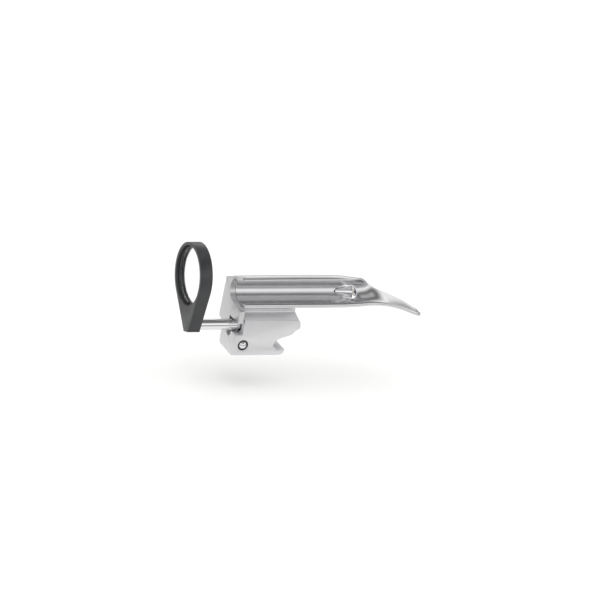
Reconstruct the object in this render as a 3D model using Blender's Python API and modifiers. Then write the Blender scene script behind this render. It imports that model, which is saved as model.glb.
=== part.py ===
"""Straight infant laryngoscope blade of the hook-on kind, with a lamp and a swing-away magnifier.

Working unit: millimetres, turned into metres by MM. Blade coordinates: x runs from the heel's
rear face to the tip, y from the open side (negative) to the lamp side, z up from the seat face
that rests on the handle. The model's origin lies on the seat face, under the detent axis.
"""
import math

import bmesh
import bpy
from mathutils import Matrix, Vector

MM = 0.001
MERGE = 1e-6              # merge distance of turned and swept shapes, in metres
GAP = 0.3                 # air kept between fixed neighbours
RUN = 0.1                 # radial clearance of a running fit
SIDES = 32                # sides of a small round piece
SHARP_ANGLE = math.radians(35)

# Heel block: tongue below, body above, hook in front
TONGUE_HALF_WIDTH = 7.0
TONGUE_LENGTH = 19.8
LEDGE_Z = 9.2
BODY_REAR_X = 3.1
BODY_FRONT_X = 28.1
SHOULDER_Z = 15.35
SHOULDER_TOP_Z = 17.2
NECK_HALF_WIDTH = 2.4
NECK_FRONT_X = 26.8
SEAT_CHAMFER = 0.8
PIN_SEAT = (19.3, 4.3)
PIN_SEAT_RADIUS = 2.0
HOOK_CORNER_RADIUS = 2.9
HOOK_ARC = (-90, -5)       # degrees
PIN_SEAT_ARC = (-55, -200)  # degrees
NECK_STEP = 0.3           # how far the neck leans back from its foot to its top
OVERCUT = 0.02            # how far a bore starts before the face that it opens
HOOK_LIP = ((22.45, 3.0), (22.0, 3.05), (21.3, 2.85))
SLOT_ROOF = ((17.8, 6.1), (18.7, 6.95), (20.3, 7.7), (23.0, 8.6), (24.6, 9.1), (25.3, 9.6), (25.7, 10.3),
             (26.4, 11.0), (27.9, 11.8))
NOSE = ((BODY_FRONT_X, 12.3), (BODY_FRONT_X, 13.0), (27.7, 14.7), (27.2, SHOULDER_Z))
SADDLE_Y = (NECK_HALF_WIDTH, 1.2, 0.0, -1.2, -NECK_HALF_WIDTH)

# Detent balls in the two cheeks
DETENT_X = 4.0
DETENT_Z = 4.8
BALL_RADIUS = 1.8
BALL_Y = 6.1
BALL_BORE_RADIUS = 2.0
BALL_BORE_FLOOR = 2.2
BALL_RECESS_RADIUS = 2.3
BALL_RECESS_DEPTH = 0.5
RETAINER_LIP = 0.08
RETAINER_INNER = 1.84
RETAINER_Y = (6.62, 6.92)
DETENT_SPRING_RADIUS = 1.25
DETENT_SPRING_WIRE = 0.16
DETENT_SPRING_TURNS = 3
DETENT_SPRING_CLEARANCE = 0.25

# Electrical contact in the seat face, held by a grub screw from the rear
CONTACT_X = 9.9
BUSH_RADIUS = 1.9
BUSH_Z = (0.1, 7.7)
BUSH_STEP_Z = 1.6
CONTACT_HEAD_RADIUS = 1.25
CONTACT_HEAD_HEIGHT = 1.4
CONTACT_STEM_RADIUS = 0.6
CONTACT_TOP_Z = 7.6
LOCK_SCREW_Z = 7.4
LOCK_SCREW_RADIUS = 1.2
LOCK_SCREW_X = (2.9, 7.7)
LOCK_SOCKET_RADIUS = 0.6
LOCK_SOCKET_DEPTH = 1.2
ACCESS_NOTCH = (0.3, 8.7)
ACCESS_NOTCH_RADIUS = 2.4
ACCESS_NOTCH_DEPTH = 2.8

# Lead: up through a slanted hole in the block, into the wire cover and along the tube
LEAD_RADIUS = 0.45
LEAD_HOLE_RADIUS = 0.8
LEAD_START = Vector((9.8, 1.2, 7.4))
LEAD_EXIT = Vector((7.4, 7.2, 12.0))
LEAD_HOLE_REACH = 1.18    # length of the slanted hole as a multiple of the way from start to exit
LEAD_CLIMB = ((6.9, 13.2), (6.4, 17.0))
LEAD_BEND = 0.7

# Blade channel: a round gutter that opens towards -y and flattens into the spatula
CHANNEL_Y = 0.6
CHANNEL_Z = 25.6
CHANNEL_RADIUS = 5.5
SHEET = 1.0
BEAD_RADIUS = 1.0
BEAD_REACH = 0.9
LIP_Y = -4.5
BLADE_REAR_X = 2.4
TIP_X = 84.2
TIP_START_X = 76.0
SPATULA_EDGE_Y = (-4.7, 5.2)
SPATULA_SAG = 0.55
SPATULA_BEAD = 0.7
TIP_BLUNTNESS = 2.6
TIP_END = 0.012
FLAT_STEPS = 6
ARC_STEPS = 16
TOP_ANGLE = ((0, 107), (44, 107), (50, 97), (54, 76), (57, 50), (60, 18), (62, -4), (66, -32), (70, -50))
TOP_SQUASH = ((0, 1.0), (44, 1.0), (57, 0.74), (84.2, 0.74))
NEAR_EDGE_Z = ((0, 21.05), (45, 21.05), (54, 21.4), (60, 21.8), (66, 21.3), (72, 20.0), (78.5, 17.7),
               (84.2, 15.3))
FAR_EDGE_Z = ((56, 28.3), (61.7, 25.4), (64.2, 24.1), (69, 22.0), (76.3, 19.0), (84.2, 15.3))
FLATTEN_X = (57.0, 69.0)

# Heel plate that closes the rear end
PLATE_X = (0.0, 2.2)
PLATE_FAR_Y = 11.4
PLATE_FOOT_Z = 9.7
PLATE_NOTCH = (1.5, 14.5)
PLATE_NEAR_Y = -7.3
PLATE_SHELF_Z = 20.2
PLATE_SHOULDER = (11.05, 27.0)
PLATE_CREST = ((10.4, 27.6), (7.06, 28.95))
PLATE_CORNER = 1.6
PLATE_SILL = (-1.0, 20.45)
PLATE_TAB = 0.6
MOUTH_RADIUS = 4.85
MOUTH_END_ANGLE = -92
COLLAR_ANGLES = (43, 102)

# Wire cover beside the block
COVER_X = (2.5, 9.4)
COVER_Y = (7.3, 11.2)
COVER_Z = (9.9, 26.6)
COVER_WALL = 0.6
COVER_CORNER = 1.2

# Lamp: wire tube along the lamp side, then a tapered socket that enters through the window
LAMP_MOUTH = Vector((54.0, 4.0, 23.1))
LAMP_TURN = math.radians(22)
LAMP_RISE = math.radians(7)
TUBE_Y = 8.6
TUBE_RADIUS = 1.9
TUBE_BORE = 1.3
TUBE_REAR_X = COVER_X[1] + GAP
TUBE_BEND = 1.6
TUBE_ENTRY = 3.0          # the lead is straight for this far into the tube
LEAD_END = 6.8            # the lead stops this far behind the lamp mouth, at the lamp's contact
SOCKET_LENGTH = 7.2
SOCKET_RADIUS = (2.55, 1.95)
SOCKET_RIM = 0.2
SOCKET_BORE = (1.95, 1.45)
WINDOW_MOUTH_RADIUS = 2.85
WINDOW_REAR_RADIUS = 2.25
WINDOW_TAPER = 8.5
WINDOW_REACH = 12.5
WINDOW_DOME = 2.6
WINDOW_DOME_STEPS = 6
LAMP_BASE_RADIUS = 1.45
LAMP_BASE_BORE = 1.1
LAMP_BASE_X = (-4.6, 0.25)
LAMP_INSULATOR_RADIUS = 1.2
LAMP_INSULATOR_X = (-5.6, -4.7)
LAMP_CONTACT_X = (-6.4, -5.7)
LAMP_CONTACT_RADIUS = (0.5, 0.9)
GLASS_RADIUS = 1.6
GLASS_WALL = 0.25
GLASS_FOOT = 0.55
GLASS_LENGTH = 2.35
FILAMENT_RADIUS = 0.3
FILAMENT_X = 1.1
FILAMENT_TURNS = 4
FILAMENT_POST_Y = 0.75
FILAMENT_WIRE = 0.1
FILAMENT_REAR_X = -3.8

# Magnifier: rod, friction bush, lens frame
ROD_Y = -1.7
ROD_Z = 11.8
ROD_RADIUS = 2.25
ROD_X = (-14.6, 12.6)
ROD_NOSE = 0.5
SPIGOT_RADIUS = 1.5
SPIGOT_REAR_X = -18.8
SPIGOT_CHAMFER = 0.3
ROD_BORE_RADIUS = 2.95
ROD_BORE_END_X = 23.6
FRICTION_BUSH_X = (4.3, 12.0)
FRICTION_BUSH_OUTER = 2.82
FRICTION_SPLIT = 0.8
FRAME_X = (-20.0, -14.9)
FRAME_RADIUS = 13.4
FRAME_OPENING = 12.1
FRAME_LIP_RADIUS = 11.6
FRAME_LIP = 1.2
LENS_OFFSET = 19.8
STEM_FOOT = -2.9
STEM_HALF_WIDTH = 2.7
STEM_HALF_WIDTH_ROD = 3.3
STEM_CHAMFER = 0.6
FRAME_LEAN = math.radians(-18)
LENS_RADIUS = 11.9
LENS_EDGE = 1.3
LENS_SAG = 1.2
LENS_REAR_X = -17.7
RETAINING_RING_RADIUS = 11.55
RETAINING_WIRE = 0.4
RETAINING_GAP_DEG = 14
STEM_SCREW_X = sum(FRAME_X) / 2
STEM_SCREW_RADIUS = 0.85
STEM_SCREW_LENGTH = 0.9

OBJECT_NAME = "laryngoscope_blade"
MATERIALS = {
    "satin_steel": ((0.60, 0.61, 0.62), 0.34, 1.0),
    "polished_steel": ((0.74, 0.74, 0.75), 0.12, 1.0),
    "ball_steel": ((0.78, 0.78, 0.79), 0.08, 1.0),
    "dark_steel": ((0.10, 0.10, 0.11), 0.35, 1.0),
    "brass": ((0.78, 0.62, 0.32), 0.28, 1.0),
    "black_plastic": ((0.045, 0.046, 0.050), 0.42, 0.0),
    "insulator": ((0.78, 0.76, 0.70), 0.5, 0.0),
    "glass": ((0.92, 0.94, 0.95), 0.03, 0.0),
    "red_sleeve": ((0.45, 0.04, 0.03), 0.5, 0.0),
}


def clear_scene():
    for obj in list(bpy.data.objects):
        bpy.data.objects.remove(obj, do_unlink=True)


def make_collection(name):
    collection = bpy.data.collections.new(name)
    bpy.context.scene.collection.children.link(collection)
    return collection


def make_materials():
    made = {}
    for name, (colour, roughness, metallic) in MATERIALS.items():
        material = bpy.data.materials.new(name)
        material.use_nodes = True
        shader = material.node_tree.nodes["Principled BSDF"]
        shader.inputs["Base Color"].default_value = (*colour, 1.0)
        shader.inputs["Roughness"].default_value = roughness
        shader.inputs["Metallic"].default_value = metallic
        made[name] = material
    return made


clear_scene()
PARTS = make_collection(OBJECT_NAME)
CUTTERS = make_collection("cutters")
MATERIAL = make_materials()


def at(x, y, z):
    """A point in blade coordinates (mm) as a world position in metres."""
    return Vector((x - DETENT_X, y, z)) * MM


def place(obj, position, parent=None):
    """Put an object at a point in blade coordinates, or at an offset along its parent's axes."""
    if parent:
        obj.parent = parent
        obj.location = Vector(position) * MM
    else:
        obj.location = at(*position)
    return obj


def axis_empty(name, position, turn):
    """An empty on a piece's own axis, with its x axis along it, that carries the pieces around it."""
    empty = bpy.data.objects.new(name, None)
    empty.rotation_euler = turn
    PARTS.objects.link(empty)
    return place(empty, position)


def add_mesh(name, build, collection=PARTS):
    """A new object whose mesh is filled by build(bm), in millimetres about the object's origin."""
    mesh = bpy.data.meshes.new(name)
    bm = bmesh.new()
    build(bm)
    bmesh.ops.scale(bm, vec=(MM, MM, MM), verts=bm.verts)
    bmesh.ops.recalc_face_normals(bm, faces=bm.faces)
    bm.to_mesh(mesh)
    bm.free()
    obj = bpy.data.objects.new(name, mesh)
    collection.objects.link(obj)
    return obj


def finish(obj, material, position=(0.0, 0.0, 0.0), parent=None):
    """Place a part, give it its material and shade its round faces smooth."""
    place(obj, position, parent)
    obj.data.materials.append(MATERIAL[material])
    obj.data.shade_smooth()
    obj.data.set_sharp_from_angle(angle=SHARP_ANGLE)
    return obj


def cutter(obj, position=(0.0, 0.0, 0.0), parent=None):
    """Place a cutting tool and keep it out of the render."""
    place(obj, position, parent)
    obj.hide_render = True
    obj.display_type = "WIRE"
    return obj


def boolean(target, tool, operation="DIFFERENCE"):
    modifier = target.modifiers.new(tool.name, "BOOLEAN")
    modifier.object = tool
    modifier.operation = operation
    return target


AXIS_TURN = {
    "X": (0.0, math.pi / 2, 0.0),
    "Y": (-math.pi / 2, 0.0, 0.0),
    "-Y": (math.pi / 2, 0.0, 0.0),
    "Z": (0.0, 0.0, 0.0),
}


def cylinder(name, axis, start, end, radius, collection=PARTS, sides=SIDES, end_radius=None):
    """A capped cylinder or cone from start to end, measured along its axis from the origin."""
    end_radius = radius if end_radius is None else end_radius

    def build(bm):
        middle = Matrix.Translation((0.0, 0.0, (start + end) / 2))
        bmesh.ops.create_cone(bm, cap_ends=True, segments=sides, radius1=radius, radius2=end_radius,
                              depth=end - start, matrix=middle)
    obj = add_mesh(name, build, collection)
    obj.rotation_euler = AXIS_TURN[axis]
    return obj


def turned(name, axis, profile, collection=PARTS, closed=False, sides=SIDES):
    """A piece turned from (radius, position) points that run down its outer side from the front."""
    links = [(i, i + 1) for i in range(len(profile) - 1)]
    if closed:
        links.append((len(profile) - 1, 0))
    mesh = bpy.data.meshes.new(name)
    mesh.from_pydata([(radius * MM, 0.0, height * MM) for radius, height in profile], links, [])
    obj = bpy.data.objects.new(name, mesh)
    collection.objects.link(obj)
    obj.rotation_euler = AXIS_TURN[axis]
    screw = obj.modifiers.new("turn", "SCREW")
    screw.steps = sides
    screw.render_steps = sides
    screw.use_merge_vertices = True
    screw.merge_threshold = MERGE
    return obj


def prism(name, outline, plane, low, high, collection=PARTS):
    """A flat outline given in the XZ or YZ plane, made thick from low to high across it."""
    curve = bpy.data.curves.new(name + "_outline", "CURVE")
    curve.dimensions = "2D"
    curve.fill_mode = "BOTH"
    curve.extrude = (high - low) / 2 * MM
    curve.render_resolution_u = 0
    spline = curve.splines.new("POLY")
    spline.points.add(len(outline) - 1)
    for point, (u, v) in zip(spline.points, outline):
        point.co = (u * MM, v * MM, 0.0, 1.0)
    spline.use_cyclic_u = True
    sketch = bpy.data.objects.new(name + "_sketch", curve)
    middle = (high + low) / 2 * MM
    if plane == "XZ":
        sketch.matrix_world = Matrix.Translation((0.0, middle, 0.0)) @ Matrix.Rotation(math.pi / 2, 4, "X")
    else:
        turn = Matrix(((0, 0, 1, middle), (1, 0, 0, 0), (0, 1, 0, 0), (0, 0, 0, 1)))
        sketch.matrix_world = turn
    return meshed(name, sketch, collection)


def meshed(name, sketch, collection=PARTS):
    """Turn a curve object into a closed mesh object and remove the curve."""
    CUTTERS.objects.link(sketch)
    bpy.context.view_layer.update()
    evaluated = sketch.evaluated_get(bpy.context.evaluated_depsgraph_get())
    mesh = bpy.data.meshes.new_from_object(evaluated)
    mesh.transform(sketch.matrix_world)
    mesh.name = name
    bm = bmesh.new()
    bm.from_mesh(mesh)
    bmesh.ops.remove_doubles(bm, verts=bm.verts, dist=MERGE)
    bmesh.ops.recalc_face_normals(bm, faces=bm.faces)
    bm.to_mesh(mesh)
    bm.free()
    obj = bpy.data.objects.new(name, mesh)
    collection.objects.link(obj)
    bpy.data.objects.remove(sketch, do_unlink=True)
    return obj


def wire(name, points, radius, collection=PARTS, resolution=2):
    """A round wire or tube through points given in millimetres about the object's origin."""
    curve = bpy.data.curves.new(name + "_path", "CURVE")
    curve.dimensions = "3D"
    curve.bevel_depth = radius * MM
    curve.bevel_resolution = resolution
    curve.render_resolution_u = 0
    curve.use_fill_caps = True
    spline = curve.splines.new("POLY")
    spline.points.add(len(points) - 1)
    for point, place in zip(spline.points, points):
        point.co = (*(Vector(place) * MM), 1.0)
    return meshed(name, bpy.data.objects.new(name + "_sketch", curve), collection)


def arc(centre, radius, start_deg, end_deg, steps):
    angles = [math.radians(start_deg + (end_deg - start_deg) * i / steps) for i in range(steps + 1)]
    return [(centre[0] + radius * math.cos(a), centre[1] + radius * math.sin(a)) for a in angles]


def smooth(t):
    t = min(max(t, 0.0), 1.0)
    return t * t * (3 - 2 * t)


def along(table, x):
    """Read a (position, value) table at x, with a smooth cubic between its rows."""
    if x <= table[0][0]:
        return table[0][1]
    if x >= table[-1][0]:
        return table[-1][1]
    last = len(table) - 1
    i = max(k for k in range(last) if table[k][0] <= x)
    (x0, v0), (x1, v1) = table[i], table[i + 1]
    before, after = table[max(i - 1, 0)], table[min(i + 2, last)]
    slope0 = (v1 - before[1]) / (x1 - before[0]) if i else 0.0
    slope1 = (after[1] - v0) / (after[0] - x0)
    t = (x - x0) / (x1 - x0)
    reach = x1 - x0
    return ((2 * t**3 - 3 * t**2 + 1) * v0 + (t**3 - 2 * t**2 + t) * reach * slope0
            + (3 * t**2 - 2 * t**3) * v1 + (t**3 - t**2) * reach * slope1)


# ---------------------------------------------------------------- blade

def channel_line(x):
    """Middle of the sheet in the gutter, from the near lip round to the top flange's edge."""
    floor_z = CHANNEL_Z - CHANNEL_RADIUS
    lip_z = along(NEAR_EDGE_Z, x)
    line = []
    for i in range(FLAT_STEPS):
        t = i / FLAT_STEPS
        line.append((LIP_Y + (CHANNEL_Y - LIP_Y) * t, floor_z + (lip_z - floor_z) * (1 - t)**2))
    for y, z in arc((CHANNEL_Y, CHANNEL_Z), CHANNEL_RADIUS, -90, along(TOP_ANGLE, x), ARC_STEPS):
        rise = (z - CHANNEL_Z) * along(TOP_SQUASH, x) if z > CHANNEL_Z else z - CHANNEL_Z
        line.append((y, CHANNEL_Z + rise))
    return line


def spatula_line(x):
    """Middle of the sheet in the spatula, a shallow trough from the near to the far edge."""
    near_z, far_z = along(NEAR_EDGE_Z, x), along(FAR_EDGE_Z, x)
    middle = sum(SPATULA_EDGE_Y) / 2
    half = (SPATULA_EDGE_Y[1] - SPATULA_EDGE_Y[0]) / 2
    t = max(0.0, (x - TIP_START_X) / (TIP_X - TIP_START_X))
    half *= math.sqrt(max(1 - t**TIP_BLUNTNESS, TIP_END))
    steps = FLAT_STEPS + ARC_STEPS
    line = []
    for i in range(steps + 1):
        u = i / steps
        sag = SPATULA_SAG * 4 * u * (1 - u)
        line.append((middle - half + 2 * half * u, near_z + (far_z - near_z) * u - sag))
    return line


def sheet_line(x):
    mix = smooth((x - FLATTEN_X[0]) / (FLATTEN_X[1] - FLATTEN_X[0]))
    pairs = zip(channel_line(x), spatula_line(x))
    return [Vector(a).lerp(Vector(b), mix) for a, b in pairs]


def sheet_ring(x):
    """The closed outline of the sheet at x: inner face, rounded edge, outer face, near bead."""
    line = sheet_line(x)
    fade = smooth((x - FLATTEN_X[0]) / (FLATTEN_X[1] - FLATTEN_X[0]))
    bead = BEAD_RADIUS + (SPATULA_BEAD - BEAD_RADIUS) * fade
    travelled = 0.0
    inner, outer = [], []
    for i, point in enumerate(line):
        before, after = line[max(i - 1, 0)], line[min(i + 1, len(line) - 1)]
        heading = (after - before).normalized()
        normal = Vector((-heading.y, heading.x))
        travelled += (point - line[i - 1]).length if i else 0.0
        half = SHEET / 2 + (bead - SHEET / 2) * math.exp(-(travelled / BEAD_REACH)**2)
        inner.append(point + normal * half)
        outer.append(point - normal * half)
    first, last = (inner[0] - outer[0]) / 2, (inner[-1] - outer[-1]) / 2
    near_end = round_end((inner[0] + outer[0]) / 2, -first)
    far_end = round_end((inner[-1] + outer[-1]) / 2, last)
    return inner + far_end + outer[::-1] + near_end


def round_end(centre, radius, steps=4):
    """Points of a half circle that closes the sheet's edge, without its two ends."""
    turn = -math.pi / steps
    points = []
    for i in range(1, steps):
        angle = turn * i
        points.append(centre + Vector((radius.x * math.cos(angle) - radius.y * math.sin(angle),
                                       radius.x * math.sin(angle) + radius.y * math.cos(angle))))
    return points


def blade_stations():
    straight = [BLADE_REAR_X, 10, 20, 30, 38, 44, 47.5, 50]
    turning = [52 + 1.5 * i for i in range(13)]
    tip = [71.5, 73.5, 75.5, 77.5, 79.5, 81.0, 82.2, 83.2, 83.8, TIP_X]
    return straight + turning + tip


def window_tool():
    """Tapered cutter with a domed front that opens the gutter's wall around the lamp socket."""
    dome = []
    for i in range(WINDOW_DOME_STEPS + 1):
        angle = math.pi / 2 * (1 - i / WINDOW_DOME_STEPS)
        dome.append((WINDOW_MOUTH_RADIUS * math.cos(angle), WINDOW_DOME * math.sin(angle)))
    dome[0] = (0.0, WINDOW_DOME)
    rear = [(WINDOW_REAR_RADIUS, -WINDOW_TAPER), (WINDOW_REAR_RADIUS, -WINDOW_REACH), (0.0, -WINDOW_REACH)]
    return cutter(turned("window_cutter", "X", dome + rear, CUTTERS), parent=LAMP_AXIS)


def make_blade():
    """Sheet lofted through its stations, then opened at the lamp window."""
    def build(bm):
        rings = []
        for x in blade_stations():
            rings.append([bm.verts.new((x, p.x, p.y)) for p in sheet_ring(x)])
        for here, there in zip(rings, rings[1:]):
            for i in range(len(here)):
                j = (i + 1) % len(here)
                bm.faces.new((here[i], here[j], there[j], there[i]))
        bm.faces.new(rings[0][::-1])
        bm.faces.new(rings[-1])
    blade = finish(add_mesh("blade", build), "polished_steel")
    boolean(blade, window_tool())


# ---------------------------------------------------------------- heel

def block_side_outline():
    """The block seen from the side (x, z): seat, hook, pin seat, slot roof, body, neck, ledge."""
    seat = [(0.0, 0.0)]
    hook = arc((TONGUE_LENGTH, HOOK_CORNER_RADIUS), HOOK_CORNER_RADIUS, *HOOK_ARC, 8)
    pin_seat = arc(PIN_SEAT, PIN_SEAT_RADIUS, *PIN_SEAT_ARC, 12)
    neck = [(NECK_FRONT_X, SHOULDER_TOP_Z), (NECK_FRONT_X - NECK_STEP, CHANNEL_Z), (BODY_REAR_X, CHANNEL_Z)]
    ledge = [(BODY_REAR_X, LEDGE_Z), (0.0, LEDGE_Z)]
    return seat + hook + list(HOOK_LIP) + pin_seat + list(SLOT_ROOF) + list(NOSE) + neck + ledge


def saddle_z(y):
    """Height of the neck's top at y, a gap below the sheet."""
    line = channel_line(BLADE_REAR_X)
    lowest = min(line, key=lambda p: abs(p[0] - y) + (10 if p[1] > CHANNEL_Z else 0))
    return lowest[1] - SHEET / 2 - GAP


def block_end_outline():
    """The block seen from the rear (y, z): chamfered seat, cheeks, shoulders, neck."""
    half, chamfer = TONGUE_HALF_WIDTH, SEAT_CHAMFER
    right = [(-half + chamfer, 0.0), (half - chamfer, 0.0), (half, chamfer), (half, SHOULDER_Z)]
    neck = [(NECK_HALF_WIDTH, SHOULDER_TOP_Z)]
    neck += [(y, saddle_z(y)) for y in SADDLE_Y]
    left = [(-NECK_HALF_WIDTH, SHOULDER_TOP_Z), (-half, SHOULDER_Z), (-half, chamfer)]
    return right + neck + left


def make_heel_block():
    """Side view and end view intersected, then bored for the rod, the balls, the contact and the lead."""
    half = TONGUE_HALF_WIDTH
    block = prism("heel_block", block_side_outline(), "XZ", -half - 1, half + 1)
    finish(block, "satin_steel")
    section = prism("section_cutter", block_end_outline(), "YZ", -1, BODY_FRONT_X + 1, CUTTERS)
    boolean(block, cutter(section), "INTERSECT")
    bore = cylinder("rod_bore_cutter", "X", BODY_REAR_X - OVERCUT, ROD_BORE_END_X, ROD_BORE_RADIUS, CUTTERS)
    boolean(block, cutter(bore, (0, ROD_Y, ROD_Z)))
    notch = cylinder("access_notch_cutter", "X", -1, ACCESS_NOTCH_DEPTH, ACCESS_NOTCH_RADIUS, CUTTERS)
    boolean(block, cutter(notch, (0, *ACCESS_NOTCH)))
    for name, axis in SIDE_AXES:
        boolean(block, ball_pocket(name, axis))
    contact = cylinder("contact_cutter", "Z", -1, BUSH_Z[1] + GAP, BUSH_RADIUS + RUN, CUTTERS)
    boolean(block, cutter(contact, (CONTACT_X, 0, 0)))
    lock = cylinder("lock_cutter", "X", -1, CONTACT_X - BUSH_RADIUS, LOCK_SCREW_RADIUS + RUN, CUTTERS, 24)
    boolean(block, cutter(lock, (0, 0, LOCK_SCREW_Z)))
    boolean(block, LEAD_HOLE)


def ball_pocket(name, axis):
    """A stepped pocket for one ball: bore, then a wider recess for its retaining ring."""
    mouth = TONGUE_HALF_WIDTH + 1
    recess = TONGUE_HALF_WIDTH - BALL_RECESS_DEPTH
    profile = [(0.0, mouth), (BALL_RECESS_RADIUS, mouth), (BALL_RECESS_RADIUS, recess),
               (BALL_BORE_RADIUS, recess), (BALL_BORE_RADIUS, BALL_BORE_FLOOR), (0.0, BALL_BORE_FLOOR)]
    pocket = turned("ball_pocket_cutter_" + name, axis, profile, CUTTERS)
    return cutter(pocket, (DETENT_X, 0, DETENT_Z))


def make_heel_plate():
    """Flat plate across the rear end; its opening is the channel's mouth and its crest the collar."""
    centre = (CHANNEL_Y, CHANNEL_Z)
    corner = arc((PLATE_FAR_Y - PLATE_CORNER, PLATE_FOOT_Z + PLATE_CORNER), PLATE_CORNER, -90, 0, 5)
    collar = arc(centre, CHANNEL_RADIUS + SHEET / 2, *COLLAR_ANGLES, 8)
    mouth = arc(centre, MOUTH_RADIUS, COLLAR_ANGLES[1], MOUTH_END_ANGLE, 20)
    tab = [PLATE_SILL, (PLATE_NEAR_Y + PLATE_TAB, PLATE_SHELF_Z), (PLATE_NEAR_Y, PLATE_SHELF_Z - PLATE_TAB)]
    notch_y, notch_z = PLATE_NOTCH
    notch = [(PLATE_NEAR_Y, notch_z), (notch_y, notch_z), (notch_y, PLATE_FOOT_Z)]
    outline = notch + corner + [PLATE_SHOULDER, *PLATE_CREST] + collar + mouth + tab
    finish(prism("heel_plate", outline, "YZ", *PLATE_X), "satin_steel")


def cover_outline(inset):
    """Rear view (y, z) of the wire cover's skin, rounded on its far side."""
    near, far = COVER_Y[0] + inset, COVER_Y[1] - inset
    foot, top = COVER_Z[0] + inset, COVER_Z[1] - inset
    radius = COVER_CORNER - inset
    lower = arc((far - radius, foot + radius), radius, -90, 0, 4)
    upper = arc((far - radius, top - radius), radius, 0, 90, 4)
    return [(near, foot)] + lower + upper + [(near, top)]


def make_wire_cover():
    """Five-sided cover beside the block, open to the rear plate, with holes for the lead."""
    rear, front = COVER_X
    cover = finish(prism("wire_cover", cover_outline(0.0), "YZ", rear, front), "satin_steel")
    hollow = prism("cover_cutter", cover_outline(COVER_WALL), "YZ", rear - 1, front - COVER_WALL, CUTTERS)
    boolean(cover, cutter(hollow))
    boolean(cover, LEAD_HOLE)
    exit_hole = cylinder("cover_exit_cutter", "X", -2, 2, LEAD_HOLE_RADIUS, CUTTERS, 16)
    boolean(cover, cutter(exit_hole, (front, TUBE_Y, tube_height())))


def make_lock_screw():
    """Grub screw with a round key socket, bearing on the contact's insulating bush."""
    screw = cylinder("contact_lock_screw", "X", *LOCK_SCREW_X, LOCK_SCREW_RADIUS, sides=24)
    finish(screw, "dark_steel", (0, 0, LOCK_SCREW_Z))
    rear = LOCK_SCREW_X[0]
    socket = cylinder("lock_socket_cutter", "X", rear - 1, rear + LOCK_SOCKET_DEPTH, LOCK_SOCKET_RADIUS,
                      CUTTERS, 6)
    boolean(screw, cutter(socket, (0, 0, LOCK_SCREW_Z)))


# ---------------------------------------------------------------- contact and lead

def make_contact():
    """Headed contact pin in an insulating bush, which is notched where the lead leaves."""
    low, high = BUSH_Z
    head, stem = CONTACT_HEAD_RADIUS, CONTACT_STEM_RADIUS
    bush = turned("contact_bush", "Z", [(stem + RUN, high), (BUSH_RADIUS, high), (BUSH_RADIUS, low),
                                        (head + RUN, low), (head + RUN, BUSH_STEP_Z),
                                        (stem + RUN, BUSH_STEP_Z)], closed=True)
    finish(bush, "insulator", (CONTACT_X, 0, 0))
    boolean(bush, LEAD_HOLE)
    profile = [(0.0, CONTACT_TOP_Z), (stem, CONTACT_TOP_Z), (stem, CONTACT_HEAD_HEIGHT),
               (head, CONTACT_HEAD_HEIGHT), (head, 0.0), (0.0, 0.0)]
    finish(turned("contact_pin", "Z", profile, sides=24), "brass", (CONTACT_X, 0, 0))


def bend_points(corners, radius, steps=5):
    """A path through corners with each inner corner rounded by a quadratic bend."""
    path = [Vector(corners[0])]
    for before, corner, after in zip(corners, corners[1:], corners[2:]):
        before, corner, after = Vector(before), Vector(corner), Vector(after)
        start = corner + (before - corner).normalized() * radius
        end = corner + (after - corner).normalized() * radius
        for i in range(steps + 1):
            t = i / steps
            path.append(start * (1 - t)**2 + corner * 2 * t * (1 - t) + end * t**2)
    path.append(Vector(corners[-1]))
    return path


def lamp_direction():
    level = Vector((math.cos(LAMP_TURN), -math.sin(LAMP_TURN), 0.0))
    return level * math.cos(LAMP_RISE) + Vector((0.0, 0.0, math.sin(LAMP_RISE)))


def tube_corner():
    """Where the lamp's axis meets the plane of the straight wire tube."""
    direction = lamp_direction()
    return LAMP_MOUTH + direction * (TUBE_Y - LAMP_MOUTH.y) / direction.y


def tube_height():
    return tube_corner().z


def tube_axis(rear_x, front_back):
    """The wire tube's axis: straight beside the channel, then turned in towards the lamp mouth."""
    corner = tube_corner()
    end = LAMP_MOUTH - lamp_direction() * front_back
    return bend_points([(rear_x, TUBE_Y, corner.z), corner, end], TUBE_BEND)


def lead_hole_tool():
    """Slanted cutter for the lead: through the contact bush, the block's cheek and the cover's wall."""
    way = LEAD_EXIT - LEAD_START
    ends = [LEAD_START - way.normalized() * 2 * GAP, LEAD_START + way * LEAD_HOLE_REACH]
    return cutter(wire("lead_hole_cutter", ends, LEAD_HOLE_RADIUS, CUTTERS))


def make_lead():
    """One insulated lead: contact pin, slanted hole, up inside the cover, along the tube to the lamp."""
    in_cover = LEAD_EXIT + (LEAD_EXIT - LEAD_START).normalized()
    in_cover.y = TUBE_Y
    climb = [(x, TUBE_Y, z) for x, z in LEAD_CLIMB]
    height = tube_height()
    entry = (COVER_X[1] + TUBE_ENTRY, TUBE_Y, height)
    corners = [LEAD_START, LEAD_EXIT, in_cover, *climb, (LEAD_CLIMB[-1][0], TUBE_Y, height), entry]
    path = bend_points(corners, LEAD_BEND) + tube_axis(entry[0], LEAD_END)[1:]
    finish(wire("lamp_lead", path, LEAD_RADIUS), "red_sleeve")


# ---------------------------------------------------------------- lamp

def lamp_piece(obj, material):
    """Place a piece built along x from the lamp mouth on the lamp's own axis."""
    return finish(obj, material, parent=LAMP_AXIS)


def make_wire_tube():
    tube = wire("wire_tube", tube_axis(TUBE_REAR_X, SOCKET_LENGTH + GAP), TUBE_RADIUS, resolution=4)
    finish(tube, "polished_steel")
    bore = wire("tube_bore_cutter", tube_axis(TUBE_REAR_X - 1, SOCKET_LENGTH - 1), TUBE_BORE, CUTTERS, 4)
    boolean(tube, cutter(bore))


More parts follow.
